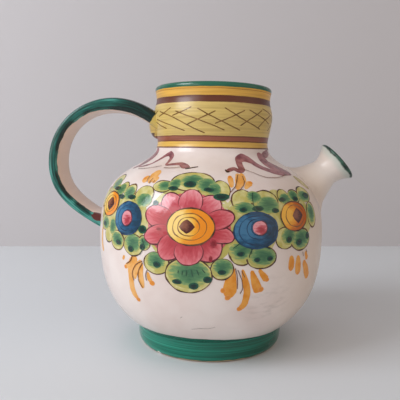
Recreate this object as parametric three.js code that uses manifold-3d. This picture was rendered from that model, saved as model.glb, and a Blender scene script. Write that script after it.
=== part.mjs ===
// Majolica pitcher: a thrown belly on a turned foot ring, a banded neck, a trumpet spout and a pulled
// strap handle. The clay pieces are made apart, luted together with slip, glazed and fired, so nothing moves.
// Millimetres and degrees, +Z up. The wheel axis is vertical, the handle is at -X and the spout at +X.

import * as THREE from 'three';
import { mergeVertices } from 'three/addons/utils/BufferGeometryUtils.js';
import Module from 'manifold-3d';

const wasm = await Module();
wasm.setup();

// Belly
const bellyHeight = 121;
const bellyRadius = 78.1;
const bellyWidestRise = 62;
const bellyBaseRadius = 53;
const bellyBaseSlope = 37.5;
const bellyBasePull = 22.5;
const bellyLowerFullness = 31.5;
const bellyUpperFullness = 29;
const bellyWall = 5;
const bellyFloor = 5.5;
const shoulderReach = 14.3;
const shoulderDrop = 12.4;
const shoulderSlope = 28.5;
const shoulderFullness = 17.5;
const throatRadius = 39.5;
const throatPull = 5;

// Foot ring, set in from the belly's lower edge
const footHeight = 15;
const footInset = 1.5;
const footWall = 13;
const footBearingInset = 4.5;
const footBearingWidth = 6;
const footEdgeRise = 5;

// Turned keys that centre the foot ring and the neck on the belly
const footKeyDepth = 2.5;
const neckKeyHeight = 2.5;
const neckKeyWall = 2.5;

// Neck: each swell is measured from the throat's radius, each rise from the joint with the belly
const neckHeight = 42;
const neckBaseSwell = -0.3;
const neckWaistSwell = -0.7;
const neckWaistRise = 5.5;
const neckBulgeSwell = 2;
const neckBulgeRise = 21.5;
const neckCollarSwell = 0.1;
const neckCollarRise = 32.5;
const neckRimSwell = 1.1;
const neckWall = 4.6;

// Spout: its drop is from the neck joint to where its axis leaves the belly, its reaches run out from there
const spoutDrop = 24.5;
const spoutTilt = 42;
const spoutLength = 27;
const spoutLipRadius = 15.4;
const spoutWaistRadius = 10;
const spoutWaistReach = 13;
const spoutFlareRadius = 14.2;
const spoutFlareReach = 3;
const spoutRootRadius = 21;
const spoutRootDepth = 10;
const spoutWall = 3;
const spoutHoleRadius = 9;

// Handle: a strap from the neck's bulge, out past the belly's side and down to just above its widest turn
const handleStandOff = 34.4;
const handleNeckRise = 20.5;
const handleNeckSlope = 34.5;
const handleNeckPull = 36;
const handleBackDrop = 32;
const handleCrestFullness = 35;
const handleBackFullness = 19.5;
const handleBellyRise = 8;
const handleBellySlope = 30;
const handleBellyPull = 20;
const handleNeckWidth = 30;
const handleBellyWidth = 32;
const handleCrestThickness = 9.6;
const handleTailThickness = 6.8;
const handleSquareness = 5;
const thinningStart = 0.15;
const thinningEnd = 0.45;

// Pad of clay pressed under the handle's upper end
const padWidth = 20;
const padHeight = 24;
const padStandOff = 3.4;

// Luting: a film of slip in every joint, and the room left round each film
const slipThickness = 0.8;
const jointGap = 0.3;

// Facets of the curved faces
const turnSegments = 40;
const spoutSegments = 24;
const strapSides = 16;
const strapSteps = 22;
const padSegments = 16;

// Heights of the joints and what follows from the sizes above
const bellyBottom = footHeight;
const bellyWidest = bellyBottom + bellyWidestRise;
const neckJoint = bellyBottom + bellyHeight;
const shoulderHeight = neckJoint - shoulderDrop;
const shoulderRadius = throatRadius + shoulderReach;
const footTop = footHeight - slipThickness;
const footRadius = bellyBaseRadius - footInset;
const footThroatRadius = footRadius - footWall;
const neckBottom = neckJoint + slipThickness;
const neckBaseRadius = throatRadius + neckBaseSwell;
const neckRimRadius = throatRadius + neckRimSwell;
const throatInsideRadius = throatRadius - bellyWall;
const neckKeyRadius = throatInsideRadius + neckKeyWall;
const pitcherHeight = neckJoint + neckHeight;
const trimDepth = 2 * jointGap + slipThickness;

const point = (radius, height) => new THREE.Vector2(radius, height);

// Unit vector at an angle above the horizontal, in a plane of radius and height
function slope(degrees) {
  const angle = THREE.MathUtils.degToRad(degrees);
  return point(Math.cos(angle), Math.sin(angle));
}

// A closed mesh as a solid: only positions are kept, shared corners are merged, collapsed faces dropped
function solidOf(geometry) {
  geometry.deleteAttribute('normal');
  geometry.deleteAttribute('uv');
  const merged = mergeVertices(geometry, 1e-4);
  const corners = merged.index.array;
  const faces = [];
  for (let i = 0; i < corners.length; i += 3) {
    const [a, b, c] = corners.slice(i, i + 3);
    if (a !== b && b !== c && c !== a) faces.push(a, b, c);
  }
  return new wasm.Manifold(new wasm.Mesh({
    numProp: 3,
    vertProperties: new Float32Array(merged.attributes.position.array),
    triVerts: new Uint32Array(faces),
  }));
}

function geometryOf(solid) {
  const { vertProperties, triVerts } = solid.getMesh();
  const geometry = new THREE.BufferGeometry();
  geometry.setAttribute('position', new THREE.BufferAttribute(vertProperties, 3));
  geometry.setIndex(new THREE.BufferAttribute(triVerts, 1));
  geometry.computeVertexNormals();
  return geometry;
}

// Turns a profile of (radius, height) points, listed upwards on its outside, round the Z axis
function turn(profile, segments) {
  const geometry = new THREE.LatheGeometry(profile, segments);
  geometry.rotateX(Math.PI / 2);
  return geometry;
}

const turned = (profile, segments = turnSegments) => solidOf(turn(profile, segments));

// Moves a polyline sideways: to the right of its direction for a positive distance, so outwards going up
function offsetLine(line, distance) {
  return line.map((here, i) => {
    const before = line[Math.max(i - 1, 0)];
    const after = line[Math.min(i + 1, line.length - 1)];
    const along = after.clone().sub(before).normalize();
    return point(here.x + distance * along.y, here.y - distance * along.x);
  });
}

// Radius of an upward line at a height
function radiusAt(line, height) {
  const i = line.findIndex((p) => p.y >= height);
  const [low, high] = [line[i - 1], line[i]];
  return THREE.MathUtils.mapLinear(height, low.y, high.y, low.x, high.x);
}

// Joins rings of equal counts, each listed clockwise seen from the last one, into one closed skin
function loft(rings) {
  const sides = rings[0].length;
  const corners = rings.flat().flatMap((p) => p.toArray());
  const faces = [];
  for (let ring = 0; ring < rings.length - 1; ring += 1) {
    for (let side = 0; side < sides; side += 1) {
      const next = (side + 1) % sides;
      const here = ring * sides;
      const there = here + sides;
      faces.push(here + side, there + next, here + next, here + side, there + side, there + next);
    }
  }
  const last = (rings.length - 1) * sides;
  for (let side = 1; side < sides - 1; side += 1) {
    faces.push(0, side, side + 1, last, last + side + 1, last + side);
  }
  const geometry = new THREE.BufferGeometry();
  geometry.setAttribute('position', new THREE.Float32BufferAttribute(corners, 3));
  geometry.setIndex(faces);
  return solidOf(geometry);
}

// Belly: outside line from the foot up to the throat, in three sweeps

const bellyBase = point(bellyBaseRadius, bellyBottom);
const bellyWaist = point(bellyRadius, bellyWidest);
const shoulder = point(shoulderRadius, shoulderHeight);
const throat = point(throatRadius, neckJoint);
const shoulderRun = slope(180 - shoulderSlope);

const bellySweeps = [
  new THREE.CubicBezierCurve(
    bellyBase,
    bellyBase.clone().addScaledVector(slope(bellyBaseSlope), bellyBasePull),
    point(bellyRadius, bellyWidest - bellyLowerFullness),
    bellyWaist,
  ),
  new THREE.CubicBezierCurve(
    bellyWaist,
    point(bellyRadius, bellyWidest + bellyUpperFullness),
    shoulder.clone().addScaledVector(shoulderRun, -shoulderFullness),
    shoulder,
  ),
  new THREE.CubicBezierCurve(
    shoulder,
    shoulder.clone().addScaledVector(shoulderRun, throatPull),
    point(throatRadius, neckJoint - throatPull),
    throat,
  ),
];

const bellyLine = [
  ...bellySweeps[0].getPoints(8),
  ...bellySweeps[1].getPoints(8).slice(1),
  ...bellySweeps[2].getPoints(4).slice(1),
];

// A solid belly, larger than the real one by the given room, that trims whatever is luted to it
function bellyBlank(room) {
  const line = offsetLine(bellyLine, room);
  const low = line[0];
  const high = line[line.length - 1];
  return turned([point(0, low.y), ...line, point(0, high.y)]);
}

function makeBelly(hole) {
  const floorTop = bellyBottom + bellyFloor;
  const footKeyRadius = footThroatRadius - jointGap;
  const footKeyBottom = bellyBottom - footKeyDepth;
  const neckKeyTop = neckJoint + neckKeyHeight;
  const inside = offsetLine(bellyLine, -bellyWall).filter((p) => p.y > floorTop + bellyWall / 2);
  const insideDown = inside.slice(0, -1).reverse();
  const floorEdge = insideDown[insideDown.length - 1].x - bellyWall;
  return turned([
    point(0, footKeyBottom),
    point(footKeyRadius, footKeyBottom),
    point(footKeyRadius, bellyBottom),
    ...bellyLine,
    point(neckKeyRadius, neckJoint),
    point(neckKeyRadius, neckKeyTop),
    point(throatInsideRadius, neckKeyTop),
    ...insideDown,
    point(floorEdge, floorTop),
    point(0, floorTop),
  ]).subtract(hole);
}

// Foot ring: a coil turned to an upright wall, rounded in to a narrow bearing face

function makeFootRing() {
  const bearingOuter = footRadius - footBearingInset;
  const bearingInner = bearingOuter - footBearingWidth;
  const edge = new THREE.CubicBezierCurve(
    point(bearingOuter, 0),
    point(bearingOuter + footBearingInset / 2, 0),
    point(footRadius - footBearingInset / 4, footEdgeRise / 2),
    point(footRadius - footBearingInset / 8, footEdgeRise),
  );
  return turned([
    ...edge.getPoints(4),
    point(footRadius, footTop),
    point(footThroatRadius, footTop),
    point(footThroatRadius, footEdgeRise),
    point(bearingInner, 0),
    point(bearingOuter, 0),
  ]);
}

// A flat washer of slip between two turned faces
function makeSlipRing(innerRadius, outerRadius, bottom) {
  const top = bottom + slipThickness;
  return turned([
    point(innerRadius, bottom),
    point(outerRadius, bottom),
    point(outerRadius, top),
    point(innerRadius, top),
    point(innerRadius, bottom),
  ]);
}

// Neck: waisted at its root, swelling into the broad band, drawn in under a round rim

const neckLine = new THREE.SplineCurve([
  point(neckBaseRadius, neckBottom),
  point(throatRadius + neckWaistSwell, neckJoint + neckWaistRise),
  point(throatRadius + neckBulgeSwell, neckJoint + neckBulgeRise),
  point(throatRadius + neckCollarSwell, neckJoint + neckCollarRise),
  point(neckRimRadius, pitcherHeight - neckWall / 2),
]).getPoints(12);

function neckBlank(room) {
  const line = offsetLine(neckLine, room);
  const low = line[0];
  const high = line[line.length - 1];
  return turned([point(0, low.y), ...line, point(0, high.y)]);
}

function makeNeck() {
  const rimRound = neckWall / 2;
  const rim = new THREE.EllipseCurve(neckRimRadius - rimRound, pitcherHeight - rimRound,
    rimRound, rimRound, 0, Math.PI).getPoints(6);
  const seat = neckJoint + neckKeyHeight + jointGap;
  const rebate = neckKeyRadius + jointGap;
  const inside = offsetLine(neckLine, -neckWall).filter((p) => p.y > seat + jointGap);
  return turned([
    ...neckLine.slice(0, -1),
    ...rim,
    ...inside.slice(0, -1).reverse(),
    point(throatInsideRadius, seat),
    point(rebate, seat),
    point(rebate, neckBottom),
    point(neckBaseRadius, neckBottom),
  ]);
}

// Spout: a small trumpet turned on its own axis, laid over and cut to a saddle on the shoulder

const spoutRoot = point(radiusAt(bellyLine, neckJoint - spoutDrop), neckJoint - spoutDrop);

const onSpoutAxis = (solid) => (
  solid.rotate([0, 90 - spoutTilt, 0]).translate([spoutRoot.x, 0, spoutRoot.y])
);

const spoutLine = new THREE.SplineCurve([
  point(spoutRootRadius, -spoutRootDepth),
  point(spoutFlareRadius, spoutFlareReach),
  point(spoutWaistRadius, spoutWaistReach),
  point(spoutLipRadius, spoutLength - spoutWall / 2),
]).getPoints(12);

function spoutBlank() {
  const low = spoutLine[0];
  const high = spoutLine[spoutLine.length - 1];
  return onSpoutAxis(turned([point(0, low.y), ...spoutLine, point(0, high.y)], spoutSegments));
}

// Runs from inside the belly to the spout's flare
const spoutHole = onSpoutAxis(turned([
  point(0, -2 * spoutRootDepth),
  point(spoutHoleRadius, -2 * spoutRootDepth),
  point(spoutHoleRadius, spoutFlareReach),
  point(0, spoutFlareReach),
], spoutSegments));

function makeSpout() {
  const lipRound = spoutWall / 2;
  const lip = new THREE.EllipseCurve(spoutLipRadius - lipRound, spoutLength - lipRound,
    lipRound, lipRound, 0, Math.PI).getPoints(4);
  const inside = offsetLine(spoutLine, -spoutWall).filter((p) => p.y > spoutFlareReach);
  const trumpet = turned([
    ...spoutLine.slice(0, -1),
    ...lip,
    ...inside.slice(0, -1).reverse(),
    point(spoutHoleRadius, spoutFlareReach),
    point(spoutHoleRadius, -spoutRootDepth),
    spoutLine[0],
  ], spoutSegments);
  return onSpoutAxis(trumpet).subtract(bellyBlank(trimDepth));
}

// A skin of slip as wide as the foot of a piece, on a belly or neck that is given as a blank
const slipSkin = (footprint, blank) => (
  footprint.intersect(blank(jointGap + slipThickness)).subtract(blank(jointGap))
);

// Handle: the strap's middle line runs out of the neck, over the crest, down the back and into the belly

const inPlane = ({ x, y }) => new THREE.Vector3(x, 0, y);
const neckEndHeight = neckJoint + handleNeckRise;
const bellyEndHeight = bellyWidest + handleBellyRise;
const neckEnd = point(-radiusAt(neckLine, neckEndHeight), neckEndHeight);
const bellyEnd = point(-radiusAt(bellyLine, bellyEndHeight), bellyEndHeight);
const handleReach = bellyRadius + handleStandOff;
const strapBack = point(handleTailThickness / 2 - handleReach, neckEndHeight - handleBackDrop);
const neckRun = slope(180 - handleNeckSlope);
const bellyRun = slope(180 - handleBellySlope);

const strapPath = new THREE.CurvePath();
strapPath.add(new THREE.CubicBezierCurve3(
  inPlane(neckEnd),
  inPlane(neckEnd.clone().addScaledVector(neckRun, handleNeckPull)),
  inPlane(point(strapBack.x, strapBack.y + handleCrestFullness)),
  inPlane(strapBack),
));
strapPath.add(new THREE.CubicBezierCurve3(
  inPlane(strapBack),
  inPlane(point(strapBack.x, strapBack.y - handleBackFullness)),
  inPlane(bellyEnd.clone().addScaledVector(bellyRun, handleBellyPull)),
  inPlane(bellyEnd),
));

// One squared oval ring of the strap, on its path or run on past an end by the given distance
function strapRing(share, runOn, room) {
  const middle = strapPath.getPoint(share);
  const along = strapPath.getTangent(share);
  middle.addScaledVector(along, runOn);
  const out = new THREE.Vector3(along.z, 0, -along.x);
  const thin = THREE.MathUtils.smoothstep(share, thinningStart, thinningEnd);
  const halfThickness = THREE.MathUtils.lerp(handleCrestThickness, handleTailThickness, thin) / 2 + room;
  const halfWidth = THREE.MathUtils.lerp(handleNeckWidth, handleBellyWidth, share) / 2 + room;
  const squared = (value) => Math.sign(value) * Math.abs(value) ** (2 / handleSquareness);
  return Array.from({ length: strapSides }, (_, side) => {
    const angle = (2 * Math.PI * side) / strapSides;
    return middle.clone()
      .addScaledVector(out, halfThickness * squared(Math.sin(angle)))
      .add(new THREE.Vector3(0, halfWidth * squared(Math.cos(angle)), 0));
  });
}

function strapBlank(room) {
  const rings = [strapRing(0, -handleCrestThickness, room)];
  for (let step = 0; step <= strapSteps; step += 1) {
    rings.push(strapRing(step / strapSteps, 0, room));
  }
  rings.push(strapRing(1, handleCrestThickness, room));
  return loft(rings);
}

const strap = strapBlank(0);

const makeStrap = () => strap.subtract(bellyBlank(trimDepth)).subtract(neckBlank(trimDepth));

// Pad: a thumbed lump of clay on the neck, under the strap
function makePad() {
  const lump = new THREE.SphereGeometry(1, padSegments, padSegments / 2);
  lump.rotateX(Math.PI / 2);
  lump.scale(2 * padStandOff, padWidth / 2, padHeight / 2);
  lump.translate(neckEnd.x + padStandOff, 0, neckEndHeight - handleCrestThickness / 2);
  return solidOf(lump)
    .subtract(strapBlank(jointGap))
    .subtract(neckBlank(jointGap));
}

// Assembly

const clay = { roughness: 0.3, metalness: 0 };
const tinWhite = { color: '#dccfca', ...clay };
const lemon = { color: '#d8bd63', ...clay };
const copperGreen = { color: '#2f7a63', ...clay };
const bareSlip = { color: '#b99a80', roughness: 0.85, metalness: 0 };

const pieces = {
  belly: [makeBelly(spoutHole), tinWhite],
  foot_ring: [makeFootRing(), copperGreen],
  neck_collar: [makeNeck(), lemon],
  spout: [makeSpout(), tinWhite],
  handle_strap: [makeStrap(), copperGreen],
  handle_pad: [makePad(), lemon],
  foot_slip: [makeSlipRing(footThroatRadius, footRadius, footTop), bareSlip],
  neck_slip: [makeSlipRing(neckKeyRadius + jointGap, neckBaseRadius, neckJoint), bareSlip],
  spout_slip: [slipSkin(spoutBlank().subtract(spoutHole), bellyBlank), bareSlip],
  handle_neck_slip: [slipSkin(strap, neckBlank), bareSlip],
  handle_belly_slip: [slipSkin(strap, bellyBlank), bareSlip],
};

const pitcher = new THREE.Group();
for (const [name, [solid, look]] of Object.entries(pieces)) {
  const mesh = new THREE.Mesh(geometryOf(solid), new THREE.MeshStandardMaterial(look));
  mesh.name = name;
  pitcher.add(mesh);
}

// The origin lies on the table, under the middle of the length from handle to lip
const length = new THREE.Box3().setFromObject(pitcher);
pitcher.position.x = -(length.min.x + length.max.x) / 2;

export default pitcher;
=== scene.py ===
"""Majolica pitcher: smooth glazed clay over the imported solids, with its painted garland, bands and lattice.

Metres, +Z up. The wheel axis is vertical. The handle is at -X, the spout at +X and the painted front at -Y.
Sizes are typed in millimetres and become metres where a mesh is made.
"""
import math

import bmesh
import bpy
from mathutils import Matrix, Vector


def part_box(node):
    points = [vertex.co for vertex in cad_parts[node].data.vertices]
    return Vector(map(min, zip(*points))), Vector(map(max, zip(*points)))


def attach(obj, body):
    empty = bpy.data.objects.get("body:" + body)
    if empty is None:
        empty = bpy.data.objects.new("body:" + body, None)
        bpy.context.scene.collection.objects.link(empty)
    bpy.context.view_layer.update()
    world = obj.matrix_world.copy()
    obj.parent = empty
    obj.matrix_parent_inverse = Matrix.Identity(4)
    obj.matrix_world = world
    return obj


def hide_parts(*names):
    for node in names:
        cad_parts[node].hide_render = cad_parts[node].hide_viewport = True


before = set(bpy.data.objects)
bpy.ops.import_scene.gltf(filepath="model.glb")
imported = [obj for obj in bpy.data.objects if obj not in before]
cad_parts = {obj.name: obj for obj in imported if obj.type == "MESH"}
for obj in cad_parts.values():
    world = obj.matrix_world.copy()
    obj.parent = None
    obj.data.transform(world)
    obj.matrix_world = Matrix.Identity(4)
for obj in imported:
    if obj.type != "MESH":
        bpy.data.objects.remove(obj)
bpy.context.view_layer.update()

MM = 0.001

foot_low, foot_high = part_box("foot_ring")
AXIS = (foot_low.x + foot_high.x) / 2


# Lines of (radius, height) in millimetres

def sweep(start, pull, push, end, steps):
    """Points on a cubic curve, both ends included."""
    points = []
    for step in range(steps + 1):
        t = step / steps
        weights = ((1 - t) ** 3, 3 * t * (1 - t) ** 2, 3 * t * t * (1 - t), t ** 3)
        corners = (start, pull, push, end)
        points.append(tuple(sum(w * c[i] for w, c in zip(weights, corners)) for i in (0, 1)))
    return points


def spline(knots, steps):
    """Points on a smooth curve through all knots."""
    points = []
    last = len(knots) - 1
    for step in range(steps + 1):
        place = step / steps * last
        i = min(int(place), last - 1)
        t = place - i
        before, here, there, after = (Vector(knots[min(max(i + k, 0), last)]) for k in (-1, 0, 1, 2))
        out = (there - before) / 2
        into = (after - here) / 2
        swing = (2 * here - 2 * there + out + into) * t + (3 * there - 3 * here - 2 * out - into)
        points.append(tuple((swing * t + out) * t + here))
    return points


def arc(centre, radius, start, end, steps):
    """Points on an arc between two angles in degrees."""
    angles = [math.radians(start + (end - start) * step / steps) for step in range(steps + 1)]
    return [(centre[0] + radius * math.cos(a), centre[1] + radius * math.sin(a)) for a in angles]


def inset(line, distance):
    """An upward line moved inwards."""
    moved = []
    for i, (x, y) in enumerate(line):
        before = Vector(line[max(i - 1, 0)])
        after = Vector(line[min(i + 1, len(line) - 1)])
        along = (after - before).normalized()
        moved.append((x - distance * along.y, y + distance * along.x))
    return moved


def along(start, degrees, distance):
    """The point at a distance from start, in a direction above the horizontal."""
    angle = math.radians(degrees)
    return (start[0] + distance * math.cos(angle), start[1] + distance * math.sin(angle))


# Belly: slopes are in degrees, and a pull says how far a curve keeps to its slope
BELLY_BASE = (53, 15)
BELLY_WIDEST = (78.1, 77)
SHOULDER = (53.8, 123.6)
THROAT = (39.5, 136)
BASE_SLOPE = 37.5
BASE_PULL = 22.5
WIDEST_PULLS = (31.5, 29)
SHOULDER_SLOPE = 180 - 28.5
SHOULDER_PULLS = (17.5, 5)
THROAT_PULL = 5
BELLY_WALL = 5
BELLY_FLOOR_TOP = 20.5
FLOOR_CORNER = (3, 1)
BELLY_KEY = (38.2, 12.5)
THROAT_KEY = (35, 39)
THROAT_KEY_TOP = 137.2
BELLY_STEPS = 28
THROAT_STEPS = 10
BELLY_SIDES = 192
SMUDGE_PLACE = (AXIS + 33 * MM, -62 * MM, 46 * MM)

base_pull = along(BELLY_BASE, BASE_SLOPE, BASE_PULL)
below_widest = (BELLY_WIDEST[0], BELLY_WIDEST[1] - WIDEST_PULLS[0])
above_widest = (BELLY_WIDEST[0], BELLY_WIDEST[1] + WIDEST_PULLS[1])
below_shoulder = along(SHOULDER, SHOULDER_SLOPE, -SHOULDER_PULLS[0])
above_shoulder = along(SHOULDER, SHOULDER_SLOPE, SHOULDER_PULLS[1])
below_throat = (THROAT[0], THROAT[1] - THROAT_PULL)
belly_low = sweep(BELLY_BASE, base_pull, below_widest, BELLY_WIDEST, BELLY_STEPS)
belly_high = sweep(BELLY_WIDEST, above_widest, below_shoulder, SHOULDER, BELLY_STEPS)
belly_neck = sweep(SHOULDER, above_shoulder, below_throat, THROAT, THROAT_STEPS)
BELLY_LINE = belly_low + belly_high[1:] + belly_neck[1:]
belly_hollow = [p for p in inset(BELLY_LINE, BELLY_WALL) if p[1] > BELLY_FLOOR_TOP + FLOOR_CORNER[1]]

BELLY_PROFILE = [
    (0, BELLY_KEY[1]),
    BELLY_KEY,
    (BELLY_KEY[0], BELLY_BASE[1]),
    *BELLY_LINE,
    (THROAT_KEY[1], THROAT_KEY_TOP),
    (THROAT_KEY[0], THROAT_KEY_TOP),
    *reversed(belly_hollow),
    (belly_hollow[0][0] - FLOOR_CORNER[0], BELLY_FLOOR_TOP),
    (0, BELLY_FLOOR_TOP),
]

# Neck
NECK_SEAT = [(38.2, 135), (39.4, 135.6), (39.45, 136.2)]
NECK_SEAT_INNER = (34.4, 135)
NECK_KNOTS = ((39.2, 136.8), (38.8, 141.5), (41.5, 157.5), (39.6, 168.5), (40.6, 175.7))
NECK_WALL = 4.6
RIM_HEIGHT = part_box("neck_collar")[1].z / MM
RIM_ROUND = NECK_WALL / 2
NECK_STEPS = 48
RIM_STEPS = 12
NECK_SIDES = 160

NECK_LINE = spline(NECK_KNOTS, NECK_STEPS)
neck_hollow = inset(NECK_LINE, NECK_WALL)[:-1]
NECK_PROFILE = [
    *NECK_SEAT,
    *NECK_LINE[1:-1],
    *arc((NECK_KNOTS[-1][0] - RIM_ROUND, RIM_HEIGHT - RIM_ROUND), RIM_ROUND, 0, 180, RIM_STEPS),
    *reversed(neck_hollow),
    NECK_SEAT_INNER,
    NECK_SEAT[0],
]

# Bands on the neck: the height where each begins, and its colour. Under the green rim the inside is white
NECK_BANDS = [
    (134, "#e6dcd4"), (135.6, "#6b4030"), (136.9, "#e0b555"), (140.3, "#713d22"), (141, "#955640"),
    (143.4, "#7b4630"), (144.1, "#d3b86c"), (165, "#63311d"), (169.3, "#e3b14c"), (173.2, "#b0742c"),
    (173.7, "#dca63c"), (174.5, "#236650"),
]
BAND_SWAY = 0.9
GREEN_RIM = NECK_BANDS[-1][0]
NECK_WHITE_RADIUS = 37.2

# Foot ring: a hollow with a round edge inside, a bearing face, a round edge and a straight side outside
FOOT_TOP = 15.6
FOOT_HOLLOW = 38.6
FOOT_FACE = (41.6, 47)
FOOT_STEPS = 6
FOOT_EDGE_STEPS = 8
FOOT_SIDES = 160

FOOT_PROFILE = [
    *sweep((FOOT_FACE[1], 0), (49.25, 0), (50.4, 2.5), (50.9, 5), FOOT_EDGE_STEPS),
    *sweep((51.1, 8), (51.2, 10), (51.4, 13.5), (51.7, FOOT_TOP), FOOT_STEPS),
    (FOOT_HOLLOW, FOOT_TOP),
    (FOOT_HOLLOW, 5.5),
    *sweep((38.8, 4.6), (39.6, 2.4), (40.2, 0), (FOOT_FACE[0], 0), FOOT_STEPS),
    (FOOT_FACE[1], 0),
]
CHIP_PLACE = (AXIS - 33 * MM, -37 * MM, 1.2 * MM)

# Spout: radius and reach along its own axis; below the saddle's top the reach is taken from the belly
SPOUT_TILT = 42
SPOUT_LENGTH = 27
SPOUT_WALL = 3
SPOUT_ROOT = (69.45, 111.5)
SPOUT_HOLE = 9
SPOUT_HOLE_DEPTH = -4.5
SPOUT_HOLE_TOP = 1.5
SPOUT_BORE_START = 3
SPOUT_KNOTS = (
    (24, -0.8), (20.3, 0.6), (16.4, 2.8), (13.6, 6.2), (11.4, 10.4), (10.3, 14.6), (12, 20.4), (15.4, 25.5),
)
SPOUT_STEPS = 40
LIP_STEPS = 8
SPOUT_SIDES = 96
SADDLE_TOP = 12
SADDLE_FIT = 3

LIP_ROUND = SPOUT_WALL / 2
spout_line = spline(SPOUT_KNOTS, SPOUT_STEPS)
spout_bore = [p for p in inset(spout_line, SPOUT_WALL)[:-1] if p[1] > SPOUT_BORE_START]
SPOUT_PROFILE = [
    *spout_line[:-1],
    *arc((SPOUT_KNOTS[-1][0] - LIP_ROUND, SPOUT_LENGTH - LIP_ROUND), LIP_ROUND, 0, 180, LIP_STEPS),
    *reversed(spout_bore),
    (SPOUT_HOLE, SPOUT_HOLE_TOP),
    (SPOUT_HOLE, SPOUT_HOLE_DEPTH),
    spout_line[0],
]
SPOUT_WAY = Vector(along((0, 0), SPOUT_TILT, 1)).to_3d().xzy
SPOUT_PLACE = Vector((AXIS + SPOUT_ROOT[0] * MM, 0, SPOUT_ROOT[1] * MM))

# Handle: the strap's middle line in the plane of the wheel axis, run on into the neck and the belly.
# Its curves pull at the neck, above and below the back, and at the belly
STRAP_NECK = (-41.5, 156.5)
STRAP_BACK = (-109.1, 124.5)
STRAP_BELLY = (-77.85, 85)
STRAP_NECK_SLOPE = 145.5
STRAP_BELLY_SLOPE = 150
STRAP_PULLS = (36, 35, 19.5, 20)
STRAP_NECK_RUN_ON = 9.5
STRAP_BELLY_RUN_ON = 8
STRAP_STEPS = (40, 32)
STRAP_SIDES = 64
STRAP_WIDTHS = (30, 32)
STRAP_THICKNESSES = (9.6, 6.8)
STRAP_FLARE = 2.2
STRAP_SQUARENESS = 5
NECK_TRIM = 38.9
BELLY_TRIM = 75

strap_upper = sweep(
    STRAP_NECK, along(STRAP_NECK, STRAP_NECK_SLOPE, STRAP_PULLS[0]),
    (STRAP_BACK[0], STRAP_BACK[1] + STRAP_PULLS[1]), STRAP_BACK, STRAP_STEPS[0],
)
strap_lower = sweep(
    STRAP_BACK, (STRAP_BACK[0], STRAP_BACK[1] - STRAP_PULLS[2]),
    along(STRAP_BELLY, STRAP_BELLY_SLOPE, STRAP_PULLS[3]), STRAP_BELLY, STRAP_STEPS[1],
)
STRAP_LINE = [
    along(STRAP_NECK, STRAP_NECK_SLOPE, -STRAP_NECK_RUN_ON),
    *strap_upper,
    *strap_lower[1:],
    along(STRAP_BELLY, STRAP_BELLY_SLOPE, -STRAP_BELLY_RUN_ON),
]

# Shares of the way from neck to belly over which the strap thins, and over which its inner side flares
THINNING_SHARES = (0.175, 0.457)
FLARE_SHARES = (0.89, 0.965)

# The strap's length and half sizes, and the brush strokes on it, both along, across and outward
STRAP_SPAN = (168, 16, 4.2)
STRAP_STROKE = (24, 4, 1.4)
THICK_STROKE = 19

# A smear on the strap, longer along it than across: the spans in which it is round, and its middle in them
SMEAR_SPAN = (120, 16, 3.4)
SMEAR_PLACE = (112.4, -15, -2.4)

# Pad of clay under the strap's upper end; its lower end is brown outside a radius and under a height
PAD_WIDTH = 20
PAD_HEIGHT = 19
PAD_STAND_OFF = 3.4
PAD_BROWN_RADIUS = 41
PAD_BROWN_TOP = 146.3

# Painting on the belly: millimetres round the widest turn from the front, and along the clay above that turn
ROSE = (-12, 14.5)
BLUE_RIGHT = (27, 12.5)
BLUE_LEFT = (-56, 16.5)
YELLOW_RIGHT = (56, 19.5)
YELLOW_LEFT = (-80, 23.5)

# Each shape is (across, up, half width, half height), and a later one covers an earlier one
WASHES = [
    (-12, 16, 28, 26), (24, 14, 17, 19), (43.5, 29, 8, 8), (55, 18, 19, 15), (-55, 16, 15, 17),
    (-80, 22, 14, 15),
]
ROSE_WASH = [(-13.5, 14.5, 25, 20)]

# Each petal is (direction in degrees, half breadth); all reach from under the disc to the flower's oval
ROSE_MIDDLE = Vector((-14, 14.5))
ROSE_REACH = (28.5, 22)
PETALS = [
    (130, 6.5), (42, 7), (-43, 8.5), (165, 6.5), (-12, 5), (197, 5.5), (13, 5.5), (231, 7), (85, 7.5),
    (-85, 8.5),
]
# Directions of the upper petals, painted paler: thinner paint, and a painted highlight for the window's
# reflection on them
PALE_DIRECTIONS = (130, 85, 42)
LEAVES = {
    ROSE: [
        (6, 37, 6, 7), (-34.5, 38.5, 7.5, 4.5), (-14, 43.5, 15.5, 8), (-32.5, -8, 8.5, 6.5),
        (6.5, -9.5, 6.5, 6), (-12.7, -13.5, 13.8, 10.3),
    ],
    BLUE_RIGHT: [(19.5, 30, 7.5, 7), (34.5, 29, 9.5, 7.5), (18, -0.5, 7.5, 6.5), (30.5, -3.5, 9.5, 6.5)],
    YELLOW_RIGHT: [
        (50, 32, 5, 5), (60.5, 32, 5.5, 4.5), (73, 32.5, 8, 5.5), (75.5, 19, 6, 8), (47, 7, 7.5, 6.5),
        (60.5, 5, 9.5, 6.5),
    ],
    BLUE_LEFT: [
        (-70.5, 35, 5.5, 4.5), (-60.5, 33.5, 5.5, 5), (-46.5, 31.5, 7.5, 6.5), (-41, 3, 4.5, 4.5),
        (-64.5, 2, 7, 6), (-49.5, 1, 8, 6.5),
    ],
    YELLOW_LEFT: [(-90, 40, 9, 5.5), (-96, 27, 5, 7), (-84, 11, 6.5, 5), (-76, 4, 6, 5)],
}
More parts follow.
